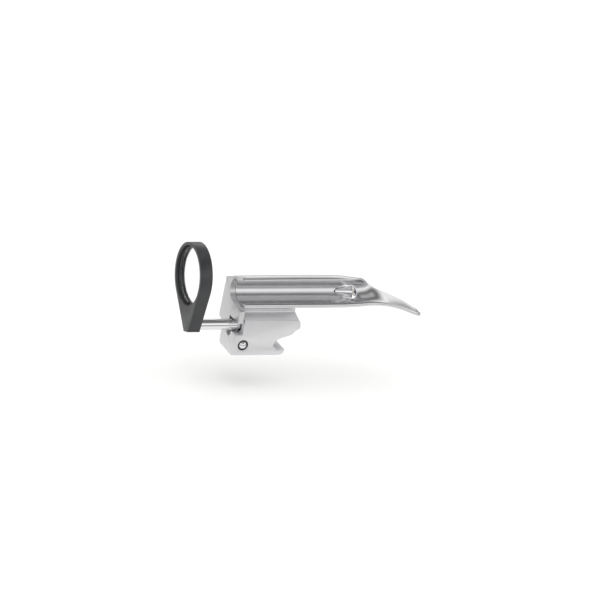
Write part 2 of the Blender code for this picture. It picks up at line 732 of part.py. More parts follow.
def make_lamp():
    """Tapered socket, and in it the lamp's shell, insulator, centre contact, glass and filament."""
    mouth, rear = SOCKET_RADIUS
    bore_mouth, bore_rear = SOCKET_BORE
    socket = turned("lamp_socket", "X", [(bore_mouth, 0.0), (mouth - SOCKET_RIM, 0.0), (mouth, -SOCKET_RIM),
                                         (rear, -SOCKET_LENGTH), (bore_rear, -SOCKET_LENGTH)], closed=True)
    lamp_piece(socket, "polished_steel")
    back, front = LAMP_BASE_X
    shell = turned("lamp_base", "X", [(LAMP_BASE_BORE, front), (LAMP_BASE_RADIUS, front),
                                      (LAMP_BASE_RADIUS, back), (LAMP_BASE_BORE, back)], closed=True)
    lamp_piece(shell, "brass")
    insulator = cylinder("lamp_insulator", "X", *LAMP_INSULATOR_X, LAMP_INSULATOR_RADIUS, sides=24)
    lamp_piece(insulator, "insulator")
    rear_radius, front_radius = LAMP_CONTACT_RADIUS
    tip = cylinder("lamp_contact", "X", *LAMP_CONTACT_X, rear_radius, sides=16, end_radius=front_radius)
    lamp_piece(tip, "brass")
    make_bulb()
    make_filament()


def dome(radius, centre, start_deg, end_deg, steps=6):
    """(radius, position) points of a dome's quarter circle."""
    points = []
    for i in range(steps + 1):
        angle = math.radians(start_deg + (end_deg - start_deg) * i / steps)
        points.append((max(radius * math.cos(angle), 0.0), centre + radius * math.sin(angle)))
    return points


def make_bulb():
    """Glass bulb with an open foot."""
    centre = GLASS_LENGTH - GLASS_RADIUS
    inner = GLASS_RADIUS - GLASS_WALL
    outside = dome(GLASS_RADIUS, centre, 90, 0)
    inside = dome(inner, centre, 0, 90)
    profile = outside + [(GLASS_RADIUS, GLASS_FOOT), (inner, GLASS_FOOT)] + inside
    lamp_piece(turned("lamp_glass", "X", profile, sides=20), "glass")


def make_filament():
    """Coiled filament between its two posts, as one bent wire."""
    post = FILAMENT_POST_Y
    steps = FILAMENT_TURNS * 4
    coil = []
    for i in range(steps + 1):
        angle = math.pi / 2 * i
        across = post * (1 - 2 * i / steps)
        forward, up = FILAMENT_RADIUS * math.cos(angle), FILAMENT_RADIUS * math.sin(angle)
        coil.append((FILAMENT_X + forward, across, up))
    bend_x = FILAMENT_X - FILAMENT_WIRE
    path = [(FILAMENT_REAR_X, post, 0.0), (bend_x, post, 0.0)] + coil
    path += [(bend_x, -post, 0.0), (FILAMENT_REAR_X, -post, 0.0)]
    lamp_piece(wire("lamp_filament", path, FILAMENT_WIRE), "dark_steel")


# ---------------------------------------------------------------- detents

def make_detents():
    """A sprung ball, its retaining ring and its spring in each cheek."""
    for name, axis in SIDE_AXES:
        side = 1 if axis == "Y" else -1

        def ball(bm):
            bmesh.ops.create_uvsphere(bm, u_segments=24, v_segments=14, radius=BALL_RADIUS)
        finish(add_mesh("detent_ball_" + name, ball), "ball_steel", (DETENT_X, side * BALL_Y, DETENT_Z))
        low, high = RETAINER_Y
        outer = BALL_RECESS_RADIUS - RUN
        profile = [(RETAINER_INNER - RETAINER_LIP, high), (outer, high), (outer, low), (RETAINER_INNER, low)]
        ring = turned("ball_retainer_" + name, axis, profile, closed=True)
        finish(ring, "dark_steel", (DETENT_X, 0, DETENT_Z))
        make_detent_spring(name, side)


def make_detent_spring(name, side):
    start = BALL_BORE_FLOOR + DETENT_SPRING_CLEARANCE
    end = BALL_Y - BALL_RADIUS + DETENT_SPRING_CLEARANCE
    steps = DETENT_SPRING_TURNS * 12
    points = []
    for i in range(steps + 1):
        angle = 2 * math.pi * i / 12
        y = side * (start + (end - start) * i / steps)
        points.append((DETENT_SPRING_RADIUS * math.cos(angle), y, DETENT_SPRING_RADIUS * math.sin(angle)))
    finish(wire("detent_spring_" + name, points, DETENT_SPRING_WIRE), "ball_steel", (DETENT_X, 0, DETENT_Z))


# ---------------------------------------------------------------- magnifier

def magnifier_piece(obj, material, offset=(0.0, 0.0, 0.0)):
    """Place a piece of the lens assembly, which leans about the rod's axis."""
    return finish(obj, material, offset, MAGNIFIER_AXIS)


def make_rod():
    """Round rod with a rounded inner end and a spigot for the lens frame."""
    rear, front = ROD_X
    radius, spigot, end = ROD_RADIUS, SPIGOT_RADIUS, SPIGOT_REAR_X
    profile = [(0.0, front), (radius - ROD_NOSE, front), (radius, front - ROD_NOSE), (radius, rear),
               (spigot, rear), (spigot, end + SPIGOT_CHAMFER), (spigot - SPIGOT_CHAMFER, end), (0.0, end)]
    magnifier_piece(turned("magnifier_rod", "X", profile), "polished_steel")


def make_friction_bush():
    """Split spring bush in the block's bore: it grips the rod and lets it turn and slide."""
    start, end = FRICTION_BUSH_X
    inner = ROD_RADIUS + RUN / 2
    half_split = math.degrees(math.asin(FRICTION_SPLIT / 2 / inner))
    outer_arc = arc((0, 0), FRICTION_BUSH_OUTER, 90 + half_split, 450 - half_split, SIDES)
    inner_arc = arc((0, 0), inner, 450 - half_split, 90 + half_split, SIDES)
    bush = prism("friction_bush", outer_arc + inner_arc, "YZ", start, end)
    finish(bush, "dark_steel", (0, ROD_Y, ROD_Z))


def frame_outline():
    """Teardrop seen along the rod: lens circle above, tapering to the foot of the stem."""
    tangent = math.degrees(math.asin((FRAME_RADIUS - STEM_HALF_WIDTH_ROD) / LENS_OFFSET))
    ring = arc((0, LENS_OFFSET), FRAME_RADIUS, -tangent, 180 + tangent, 40)
    half, foot, chamfer = STEM_HALF_WIDTH, STEM_FOOT, STEM_CHAMFER
    stem = [(-half, foot + chamfer), (-half + chamfer, foot), (half - chamfer, foot), (half, foot + chamfer)]
    return ring + stem


def frame_cutter(frame, name, axis, start, end, radius, offset=(0.0, 0.0, 0.0), sides=SIDES):
    tool = cylinder(name, axis, start, end, radius, CUTTERS, sides)
    boolean(frame, cutter(tool, offset, MAGNIFIER_AXIS))


def make_lens_frame():
    """Teardrop holder: lens seat with a front lip, hole for the spigot, hole for its grub screw."""
    rear, front = FRAME_X
    frame = prism("lens_frame", frame_outline(), "YZ", rear, front)
    magnifier_piece(frame, "black_plastic")
    centre = (0, 0, LENS_OFFSET)
    frame_cutter(frame, "lens_seat_cutter", "X", rear - 1, front - FRAME_LIP, FRAME_OPENING, centre, 64)
    frame_cutter(frame, "lens_lip_cutter", "X", front - 3, front + 1, FRAME_LIP_RADIUS, centre, 64)
    frame_cutter(frame, "spigot_cutter", "X", SPIGOT_REAR_X - GAP, front + 1, SPIGOT_RADIUS + RUN)
    frame_cutter(frame, "stem_screw_cutter", "Z", STEM_FOOT - 1, 0, STEM_SCREW_RADIUS + RUN,
                 (STEM_SCREW_X, 0, 0), 16)


def lens_profile():
    """Half section of the biconvex lens, from the front pole round the rim to the rear pole."""
    sag_radius = (LENS_RADIUS**2 + LENS_SAG**2) / (2 * LENS_SAG)
    face = []
    for i in range(7):
        radius = LENS_RADIUS * math.sin(math.radians(15 * i))
        face.append((radius, math.sqrt(sag_radius**2 - radius**2) - (sag_radius - LENS_SAG)))
    front = [(radius, LENS_REAR_X + LENS_EDGE + bulge) for radius, bulge in face]
    rear = [(radius, LENS_REAR_X - bulge) for radius, bulge in face]
    return front + rear[::-1]


def make_lens():
    """Biconvex lens, its retaining ring and the grub screw that grips the rod's spigot."""
    centre = (0, 0, LENS_OFFSET)
    magnifier_piece(turned("lens", "X", lens_profile(), sides=48), "glass", centre)
    ring_x = LENS_REAR_X - RETAINING_WIRE - GAP
    half_gap = RETAINING_GAP_DEG / 2
    sweep = arc((0, 0), RETAINING_RING_RADIUS, -90 + half_gap, 270 - half_gap, 40)
    ring = wire("lens_retaining_ring", [(ring_x, y, z) for y, z in sweep], RETAINING_WIRE)
    magnifier_piece(ring, "dark_steel", centre)
    top = -SPIGOT_RADIUS - RUN / 2
    screw = cylinder("stem_screw", "Z", top - STEM_SCREW_LENGTH, top, STEM_SCREW_RADIUS, sides=16)
    magnifier_piece(screw, "dark_steel", (STEM_SCREW_X, 0, 0))


SIDE_AXES = (("right", "-Y"), ("left", "Y"))
LAMP_AXIS = axis_empty("lamp_axis", LAMP_MOUTH, (0.0, -LAMP_RISE, -LAMP_TURN))
MAGNIFIER_AXIS = axis_empty("magnifier_axis", (0, ROD_Y, ROD_Z), (FRAME_LEAN, 0.0, 0.0))
LEAD_HOLE = lead_hole_tool()
make_blade()
make_heel_block()
make_heel_plate()
make_wire_cover()
make_lock_screw()
make_contact()
make_lead()
make_wire_tube()
make_lamp()
make_detents()
make_rod()
make_friction_bush()
make_lens_frame()
make_lens()
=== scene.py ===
import math

import bmesh
import bpy
from mathutils import Matrix, Vector


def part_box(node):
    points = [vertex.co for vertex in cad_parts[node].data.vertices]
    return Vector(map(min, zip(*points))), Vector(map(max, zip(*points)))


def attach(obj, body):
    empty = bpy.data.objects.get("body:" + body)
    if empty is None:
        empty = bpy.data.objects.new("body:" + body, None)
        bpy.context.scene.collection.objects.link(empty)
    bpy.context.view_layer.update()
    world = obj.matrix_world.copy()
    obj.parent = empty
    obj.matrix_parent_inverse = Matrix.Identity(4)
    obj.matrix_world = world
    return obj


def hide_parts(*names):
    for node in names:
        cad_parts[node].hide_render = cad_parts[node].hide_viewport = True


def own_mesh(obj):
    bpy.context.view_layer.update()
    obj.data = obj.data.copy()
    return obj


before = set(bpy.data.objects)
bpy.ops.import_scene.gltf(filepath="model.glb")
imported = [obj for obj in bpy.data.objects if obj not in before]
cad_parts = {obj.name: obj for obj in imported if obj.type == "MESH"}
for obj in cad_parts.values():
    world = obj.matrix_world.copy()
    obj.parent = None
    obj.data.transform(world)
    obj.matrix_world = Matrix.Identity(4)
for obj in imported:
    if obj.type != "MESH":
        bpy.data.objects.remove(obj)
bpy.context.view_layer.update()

# ------------------------------------------------------------------ driving sizes
# Millimetres in blade coordinates: x from the heel's rear face to the tip, y from the open side to
# the lamp side, z up from the seat face. The row's origin is under the detent balls' axis.
# From SOCKET_LENGTH to POST_END_X, x runs along the lamp's own axis from the socket's mouth.
MM = 0.001
BALL_LOW, BALL_HIGH = (Vector(corner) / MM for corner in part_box("detent_ball_right"))
BLOCK_LOW, BLOCK_HIGH = (Vector(corner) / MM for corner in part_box("heel_block"))
REAR = BLOCK_LOW.x
BALL_RADIUS = (BALL_HIGH.x - BALL_LOW.x) / 2
BALL_Y = -(BALL_HIGH.y + BALL_LOW.y) / 2
DETENT_X = (BALL_HIGH.x + BALL_LOW.x) / 2 - REAR
DETENT_Z = (BALL_HIGH.z + BALL_LOW.z) / 2

TONGUE_HALF = BLOCK_HIGH.y
TONGUE_LENGTH = 19.8
LEDGE_Z = 9.2
BODY_REAR_X = 3.1
BODY_FRONT_X = BLOCK_HIGH.x - REAR
SHOULDER_Z = 15.35
SHOULDER_TOP_Z = 17.2
NECK_HALF = 2.4
NECK_FRONT_X = 26.8
NECK_FLARE = 0.6
NECK_WAIST = 0.25
NECK_STEP = 0.3
# The neck's side as (out from the waist, z); its left side ends a little lower.
NECK_RISE = ((0.1, 17.6), (0.0, 18.2), (0.1, 18.9), (0.35, 19.4))
NECK_LEFT_Z = 19.3
NECK_FOOT = 0.1
SHOULDER_X = 27.2
SADDLE_GAP = 0.04
SADDLE_STEPS = 12
SEAT_CHAMFER = 0.8
BLOCK_EDGE = 0.22
PIN_SEAT = (19.3, 4.3)
PIN_SEAT_RADIUS = 2.0
PIN_SEAT_ARC = (-55, -200)
HOOK_CORNER = 2.9
HOOK_ARC = (-90, -5)
ACCESS_NOTCH = (0.3, 8.7)
ACCESS_NOTCH_RADIUS = 2.4
ACCESS_NOTCH_DEPTH = 2.8
BALL_BORE_RADIUS = 2.0
BALL_BORE_FLOOR = 2.2
BALL_RECESS_RADIUS = 2.3
BALL_RECESS_DEPTH = 0.5
BALL_RING_RADII = (1.84, BALL_RECESS_RADIUS - 0.1)
BALL_RING_Y = (6.62, 6.92)
BALL_RING_CHAMFER = 0.06
BALL_RING_DISH = 0.02
CONTACT_X = 9.9
CONTACT_HOLE = 2.0
CONTACT_TOP_Z = 8.0
LEAD_START = Vector((9.8, 1.2, 7.4))
LEAD_EXIT = Vector((7.4, 7.2, 12.0))
LEAD_HOLE = 0.8
LEAD_HOLE_BACK = 0.6
LEAD_HOLE_REACH = 1.18
LOCK_Z = 7.4
LOCK_HOLE = 1.3
LOCK_END_X = CONTACT_X - 1.9
# OVERCUT is how far a cutter runs past a face; SKIM keeps the rod's bore just outside the ledge.
OVERCUT = 1.0
SKIM = 0.02

CHANNEL = (0.6, 25.6)
CHANNEL_RADIUS = 5.5
SHEET = 1.0
BEAD_RADIUS = 1.0
SPATULA_BEAD = 0.7
BEAD_REACH = 0.9
LIP_Y = -4.5
BLADE_REAR_X = 2.4
TIP_X = 84.2
TIP_START_X = 76.0
TIP_POWER = 2.6
TIP_LEAST = 0.012
SPATULA_EDGE_Y = (-4.7, 5.2)
SPATULA_SAG = 0.55
TOP_ANGLE = ((0, 107), (44, 107), (50, 97), (54, 76), (57, 50), (60, 18), (62, -4), (66, -32),
             (70, -50))
TOP_SQUASH = ((0, 1.0), (44, 1.0), (57, 0.74), (84.2, 0.74))
NEAR_EDGE_Z = ((0, 21.05), (45, 21.05), (54, 21.4), (60, 21.8), (66, 21.3), (72, 20.0), (78.5, 17.7),
               (84.2, 15.3))
FAR_EDGE_Z = ((56, 28.3), (61.7, 25.4), (64.2, 24.1), (69, 22.0), (76.3, 19.0), (84.2, 15.3))
FLATTEN_X = (57.0, 69.0)

PLATE_X = (0.0, 2.2)
PLATE_FAR_Y = 11.4
PLATE_CORNER = 1.6
PLATE_CHAMFER = 0.6
PLATE_FOOT_Z = 9.7
PLATE_NOTCH = (1.5, 14.5)
PLATE_NEAR_Y = -7.3
PLATE_SHELF_Z = 20.2
PLATE_SHOULDER = (11.05, 27.0)
PLATE_CREST_BEND = (10.4, 27.6)
PLATE_CREST = (7.06, 28.95)
PLATE_CREST_RADII = (0.5, 0.5, 0.3)
PLATE_SILL = (-1.0, 20.45)
PLATE_EDGE_SHARE = 0.22
MOUTH_RADIUS = 4.85
MOUTH_END_ANGLE = -92
MOUTH_ROLL = 0.9
COLLAR_ANGLES = (43, 102)

COVER_X = (2.5, 9.4)
COVER_Y = (7.3, 11.2)
COVER_Z = (9.9, 26.6)
COVER_WALL = 0.6
COVER_CORNER = 1.2
COVER_EDGE = 0.25

SPRING_Y = (2.46, 4.54)
SPRING_TURNS = 3
SPRING_TURN_STEPS = 32
SPRING_RADIUS = 1.25
SPRING_WIRE = 0.16

LAMP_MOUTH = Vector((54.0, 4.0, 23.1))
LAMP_TURN = math.radians(22)
LAMP_RISE = math.radians(7)
TUBE_Y = 8.6
TUBE_RADIUS = 1.9
TUBE_BORE = 1.3
TUBE_REAR_X = 9.7
TUBE_BEND = 1.6
TUBE_GAP = 0.3
TUBE_EDGE = 0.15
SOCKET_LENGTH = 7.2
SOCKET_RADIUS = (2.55, 1.95)
SOCKET_BORE = (1.95, 1.45)
SOCKET_LIP = 0.28
SOCKET_HEEL = (0.15, 0.2)
SOCKET_FUNNEL = (0.1, 0.3)
GROOVE_X = (-0.75, -0.85, -1.0, -1.1)
GROOVE_DEPTH = 0.07
WINDOW_MOUTH_RADIUS = 2.85
WINDOW_REAR_RADIUS = 2.25
WINDOW_TAPER = 8.5
WINDOW_REACH = 12.5
WINDOW_DOME = 2.6
DOME_STEPS = 24
LAMP_BASE_RADIUS = 1.45
LAMP_BASE_BORE = 1.1
LAMP_BASE_X = (-4.6, 0.25)
BASE_CHAMFER = 0.12
BASE_COLLAR = (0.05, 0.15)
BASE_RIM = (0.03, 0.1)
BASE_RIM_X = -0.4
THREAD_X = -4.2
THREAD_LENGTH = 3.6
THREAD_ROOT = 0.08
THREAD_DEPTH = 0.07
THREAD_STEPS = 48
THREAD_TURN_STEPS = 8
GLASS_RADIUS = 1.6
GLASS_WALL = 0.25
GLASS_FOOT = 0.55
GLASS_LENGTH = 2.35
GLASS_FOOT_ROUND = (0.08, 0.07)
BULB_STEPS = 20
FILAMENT_X = 1.1
FILAMENT_RADIUS = 0.28
FILAMENT_POST = 0.75
FILAMENT_SPREAD = 0.92
FILAMENT_WIRE = 0.08
FILAMENT_STEPS = 60
FILAMENT_TURN_STEPS = 10
POST_REAR_X = -3.8
POST_END_X = FILAMENT_X - 0.1

ROD_Y = -1.7
ROD_Z = 11.8
ROD_RADIUS = 2.25
ROD_X = (-14.6, 12.6)
ROD_NOSE = 0.5
ROD_CHAMFER = 0.12
SPIGOT_RADIUS = 1.5
SPIGOT_REAR_X = -18.8
SPIGOT_CHAMFER = 0.3
SPIGOT_END_GAP = 0.3
PRESS_GAP = 0.1
ROD_BORE_RADIUS = 2.95
ROD_BORE_END_X = 23.6
FRAME_X = (-20.0, -14.9)
FRAME_RADIUS = 13.4
FRAME_OPENING = 12.1
FRAME_LIP_RADIUS = 11.6
FRAME_LIP = 1.2
LENS_OFFSET = 19.8
STEM_FOOT = -2.9
STEM_HALF = 2.7
STEM_HALF_ROD = 3.3
STEM_CHAMFER = 0.6
STEM_ROUND = 0.25
FRAME_EDGE = 0.32
FRAME_LEAN = math.radians(-18)
LENS_RADIUS = 11.9
LENS_EDGE = 1.3
LENS_SAG = 1.2
LENS_REAR_X = -17.7
LENS_RIM = 0.08
LENS_CHAMFER = 0.06
LENS_STEPS = 40
RING_RADIUS = 11.55
RING_WIRE = 0.4
RING_GAP_DEG = 14
RING_BEHIND = 0.3
STEM_SCREW_RADIUS = 0.85

# Tolerances: WELD_M is in metres, the rest in millimetres or degrees.
HARD_EDGE_DEG = 28
FLAT_DEG = 0.5
WELD_M = 2e-6
WELD_MM = 1e-4
ON_FACE = 0.01
ON_CIRCLE = 0.02


# ------------------------------------------------------------------ helpers
def at(x, y, z):
    """A point in blade coordinates (mm) as a position in the row frame (m)."""
    return Vector((x + REAR, y, z)) * MM


def new_object(name, mesh):
    obj = bpy.data.objects.new(name, mesh)
    bpy.context.scene.collection.objects.link(obj)
    return obj


def mesh_object(name, build, matrix=Matrix.Identity(4)):
    """A mesh filled by build(bm) in millimetres and blade coordinates, then moved by matrix."""
    bm = bmesh.new()
    build(bm)
    bmesh.ops.transform(bm, matrix=matrix, verts=bm.verts)
    for vert in bm.verts:
        vert.co = at(*vert.co)
    bmesh.ops.recalc_face_normals(bm, faces=bm.faces)
    mesh = bpy.data.meshes.new(name)
    bm.to_mesh(mesh)
    bm.free()
    return new_object(name, mesh)


def apply_modifiers(obj):
    """Turn the piece's modifiers into plain mesh."""
    bpy.context.view_layer.update()
    evaluated = obj.evaluated_get(bpy.context.evaluated_depsgraph_get())
    mesh = bpy.data.meshes.new_from_object(evaluated)
    obj.modifiers.clear()
    old = obj.data
    obj.data = mesh
    bpy.data.meshes.remove(old)


def boolean(obj, tool, operation="DIFFERENCE"):
    """Cut one closed shape with another, or keep what they share, and drop the tool."""
    modifier = obj.modifiers.new("cut", "BOOLEAN")
    modifier.object = tool
    modifier.operation = operation
    apply_modifiers(obj)
    bpy.data.objects.remove(tool, do_unlink=True)


def soften(obj, width, segments=3, angle_deg=HARD_EDGE_DEG):
    """Round the hard edges of a machined piece by width millimetres."""
    bm = bmesh.new()
    bm.from_mesh(obj.data)
    bmesh.ops.remove_doubles(bm, verts=bm.verts, dist=WELD_M)
    bmesh.ops.dissolve_limit(bm, angle_limit=math.radians(FLAT_DEG), verts=bm.verts, edges=bm.edges)
    bm.to_mesh(obj.data)
    bm.free()
    modifier = obj.modifiers.new("soften", "BEVEL")
    modifier.width = width * MM
    modifier.segments = segments
    modifier.limit_method = "ANGLE"
    modifier.angle_limit = math.radians(angle_deg)
    apply_modifiers(obj)


def shade(obj, angle_deg):
    """Smooth shading, kept crisp where faces meet at more than angle_deg."""
    obj.data.shade_smooth()
    obj.data.set_sharp_from_angle(angle=math.radians(angle_deg))


def dress(obj, material, body, slot, *nodes):
    """Give a piece its material, its CAD body and the CAD nodes it stands for; slot is not used."""
    obj.data.materials.clear()
    obj.data.materials.append(material)
    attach(obj, body)
    if nodes:
        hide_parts(*nodes)


AXIS_TURN = {
    "X": Matrix.Rotation(math.radians(90), 4, "Y"),
    "Y": Matrix.Rotation(math.radians(-90), 4, "X"),
    "Z": Matrix.Identity(4),
}


def cylinder_tool(axis, start, end, radius, position, sides, lean=Matrix.Identity(4)):
    """A round cutter along an axis, from start to end, at a position in blade coordinates."""
    def build(bm):
        turn = AXIS_TURN[axis] @ Matrix.Translation((0, 0, (start + end) / 2))
        bmesh.ops.create_cone(bm, cap_ends=True, segments=sides, radius1=radius, radius2=radius,
                              depth=end - start, matrix=turn)
    return mesh_object("tool", build, Matrix.Translation(position) @ lean)


def spun(name, profile, axis, matrix, sides=96, closed=True):
    """A piece turned about an axis from a (radius, position) profile."""
    def build(bm):
        verts = [bm.verts.new((r, 0.0, z)) for r, z in profile]
        pairs = list(zip(verts, verts[1:]))
        if closed:
            pairs.append((verts[-1], verts[0]))
        chain = [bm.edges.new(pair) for pair in pairs]
        bmesh.ops.spin(bm, geom=verts + chain, axis=(0, 0, 1), cent=(0, 0, 0), steps=sides,
                       angle=2 * math.pi, use_merge=True)
        bmesh.ops.remove_doubles(bm, verts=bm.verts, dist=WELD_MM)
        loose = [edge for edge in bm.edges if not edge.link_faces]
        bmesh.ops.delete(bm, geom=loose, context="EDGES")
        bmesh.ops.transform(bm, matrix=AXIS_TURN[axis], verts=bm.verts)
    return mesh_object(name, build, matrix)


def prism(name, outline, plane, low, high, matrix=Matrix.Identity(4)):
    """A flat outline in the XZ or YZ plane, made thick from low to high across it."""
    def place(u, v, w):
        return (u, w, v) if plane == "XZ" else (w, u, v)

    def build(bm):
        front = [bm.verts.new(place(u, v, low)) for u, v in outline]
        back = [bm.verts.new(place(u, v, high)) for u, v in outline]
        bm.faces.new(front)
        bm.faces.new(back[::-1])
        for i in range(len(outline)):
            j = (i + 1) % len(outline)
            bm.faces.new((front[i], back[i], back[j], front[j]))
    return mesh_object(name, build, matrix)


def tube(name, points, radius, sides):
    """A round tube with closed ends along points in blade coordinates."""
    def build(bm):
        places = [Vector(p) for p in points]
        side = Vector((0, 0, 1))
        rings = []
        for i, place in enumerate(places):
            heading = (places[min(i + 1, len(places) - 1)] - places[max(i - 1, 0)]).normalized()
            side = (side - heading * side.dot(heading)).normalized()
            across = heading.cross(side)
            ring = []
            for k in range(sides):
                angle = 2 * math.pi * k / sides
                outward = side * math.cos(angle) + across * math.sin(angle)
                ring.append(bm.verts.new(place + outward * radius))
            rings.append(ring)
        for here, there in zip(rings, rings[1:]):
            for k in range(sides):
                m = (k + 1) % sides
                bm.faces.new((here[k], here[m], there[m], there[k]))
        bm.faces.new(rings[0][::-1])
        bm.faces.new(rings[-1])
    return mesh_object(name, build)


def arc(centre, radius, start_deg, end_deg, steps):
    """Points along an arc of a circle in 2D, both ends included."""
    angles = [math.radians(start_deg + (end_deg - start_deg) * i / steps) for i in range(steps + 1)]
    return [(centre[0] + radius * math.cos(a), centre[1] + radius * math.sin(a)) for a in angles]


def smooth(t):
    """An even ease from 0 to 1."""
    t = min(max(t, 0.0), 1.0)
    return t * t * (3 - 2 * t)


def along(table, x):
    """Read a (position, value) table at x, with a smooth cubic between its rows."""
    if x <= table[0][0]:
        return table[0][1]
    if x >= table[-1][0]:
        return table[-1][1]
    last = len(table) - 1
    i = max(k for k in range(last) if table[k][0] <= x)
    (x0, v0), (x1, v1) = table[i], table[i + 1]
    before, after = table[max(i - 1, 0)], table[min(i + 2, last)]
    slope0 = (v1 - before[1]) / (x1 - before[0]) if i else 0.0
    slope1 = (after[1] - v0) / (after[0] - x0)
    t = (x - x0) / (x1 - x0)
    reach = x1 - x0
    return ((2 * t**3 - 3 * t**2 + 1) * v0 + (t**3 - 2 * t**2 + t) * reach * slope0
            + (3 * t**2 - 2 * t**3) * v1 + (t**3 - t**2) * reach * slope1)


def rounded(corners, radius, steps):
    """A 2D outline with its corners rounded; radius is one value or one for each corner."""
    radii = radius if isinstance(radius, (list, tuple)) else [radius] * len(corners)
    outline = []
    count = len(corners)
    for i in range(count):
        before, corner, after = (Vector(corners[k % count]) for k in (i - 1, i, i + 1))
        if radii[i] <= 0:
            outline.append(tuple(corner))
            continue
        start = corner + (before - corner).normalized() * radii[i]
        end = corner + (after - corner).normalized() * radii[i]
        for k in range(steps + 1):
            t = k / steps
            outline.append(tuple(start * (1 - t)**2 + corner * 2 * t * (1 - t) + end * t**2))
    return outline


def bend_points(corners, radius, steps=12):
    """A path in space through corners, each inner corner rounded by a quadratic bend."""
    path = [Vector(corners[0])]
    for before, corner, after in zip(corners, corners[1:], corners[2:]):
        before, corner, after = Vector(before), Vector(corner), Vector(after)
        start = corner + (before - corner).normalized() * radius
        end = corner + (after - corner).normalized() * radius
        for i in range(steps + 1):
            t = i / steps
            path.append(start * (1 - t)**2 + corner * 2 * t * (1 - t) + end * t**2)
    path.append(Vector(corners[-1]))
    return path


# ------------------------------------------------------------------ materials
class Nodes:
    """Short way to build a node material around its Principled BSDF."""

    def __init__(self, name, colour, roughness, metallic=0.0, **sockets):
        self.material = bpy.data.materials.new(name)
        self.material.use_nodes = True
        self.tree = self.material.node_tree
        self.shader = self.tree.nodes["Principled BSDF"]
        self.shader.inputs["Base Color"].default_value = (*colour, 1.0)
        self.shader.inputs["Roughness"].default_value = roughness
        self.shader.inputs["Metallic"].default_value = metallic
        for socket, value in sockets.items():
            self.shader.inputs[socket].default_value = value
        self.coordinates = self.add("ShaderNodeTexCoord").outputs["Object"]

    def add(self, kind, **settings):
        node = self.tree.nodes.new(kind)
        for key, value in settings.items():
            setattr(node, key, value)
        return node

    def link(self, source, target):
        self.tree.links.new(source, target)

    def stretched(self, scale):
        mapping = self.add("ShaderNodeMapping")
        mapping.inputs["Scale"].default_value = scale
        self.link(self.coordinates, mapping.inputs["Vector"])
        return mapping.outputs["Vector"]

    def noise(self, scale, detail=4.0, roughness=0.55):
        node = self.add("ShaderNodeTexNoise")
        node.inputs["Scale"].default_value = 1.0
        node.inputs["Detail"].default_value = detail
        node.inputs["Roughness"].default_value = roughness
        self.link(self.stretched(scale), node.inputs["Vector"])
        return node.outputs["Fac"]

    def span(self, source, low, high, to_low, to_high):
        node = self.add("ShaderNodeMapRange", clamp=True)
        ends = {"From Min": low, "From Max": high, "To Min": to_low, "To Max": to_high}
        for socket, value in ends.items():
            node.inputs[socket].default_value = value
        self.link(source, node.inputs["Value"])
        return node.outputs["Result"]

    def math(self, operation, first, second):
        node = self.add("ShaderNodeMath", operation=operation)
        for socket, value in zip(node.inputs, (first, second)):
            if isinstance(value, (int, float)):
                socket.default_value = value
            else:
                self.link(value, socket)
        return node.outputs["Value"]

    def mix_colour(self, factor, first, second):
        node = self.add("ShaderNodeMix", data_type="RGBA")
        colour_inputs = [s for s in node.inputs if s.type == "RGBA"]
        colour_inputs[0].default_value = (*first, 1.0)
        colour_inputs[1].default_value = (*second, 1.0)
        self.link(factor, node.inputs["Factor"])
        return [s for s in node.outputs if s.type == "RGBA"][0]

    def colour(self, source):
        self.link(source, self.shader.inputs["Base Color"])

    def roughness(self, source):
        self.link(source, self.shader.inputs["Roughness"])

    def bump(self, source, strength, distance):
        node = self.add("ShaderNodeBump")
        node.inputs["Strength"].default_value = strength
        node.inputs["Distance"].default_value = distance
        self.link(source, node.inputs["Height"])
        self.link(node.outputs["Normal"], self.shader.inputs["Normal"])


CLOUD_GRAIN = (90, 90, 90)
PEBBLE_GRAIN = (2600, 2600, 2600)
PATCH_GRAIN = (140, 140, 140)
HAZE_GRAIN = (400, 400, 400)
POLISH_DEPTH = 0.00002
PEBBLE_DEPTH = 0.00003
PEBBLE_STRENGTH = 0.25
GLASS_ROUGHNESS = 0.01
NOISE_MIDDLE = (0.3, 0.7)
COATING_IOR = 1.38


def steel(name, colour, roughness, grain, grain_strength, smudge, metallic=1.0):
    """Stainless steel: fine directional polishing lines, soft smudges and slight colour drift."""
    n = Nodes(name, colour, roughness, metallic=metallic)
    lines = n.noise(grain, detail=6.0, roughness=0.7)
    clouds = n.noise(CLOUD_GRAIN, detail=3.0)
    drift = n.math("ADD", n.math("MULTIPLY", lines, 0.6), n.math("MULTIPLY", clouds, 0.4))
    n.roughness(n.span(drift, *NOISE_MIDDLE, roughness - smudge, roughness + smudge))
    n.colour(n.mix_colour(n.span(drift, *NOISE_MIDDLE, 0.0, 1.0), [c * 0.93 for c in colour],
                          [min(c * 1.05, 1.0) for c in colour]))
    n.bump(lines, grain_strength, POLISH_DEPTH)
    return n.material


def moulded(name, colour, roughness):
    """Moulded plastic: fine pebble texture, faint mottling and rubbed patches."""
    n = Nodes(name, colour, roughness)
    pebble = n.noise(PEBBLE_GRAIN, detail=3.0)
    patches = n.noise(PATCH_GRAIN, detail=4.0)
    n.roughness(n.span(patches, 0.35, 0.7, roughness - 0.06, roughness + 0.08))
    n.colour(n.mix_colour(n.span(patches, *NOISE_MIDDLE, 0.0, 1.0), [c * 0.82 for c in colour],
                          [c * 1.18 for c in colour]))
    n.bump(pebble, PEBBLE_STRENGTH, PEBBLE_DEPTH)
    return n.material


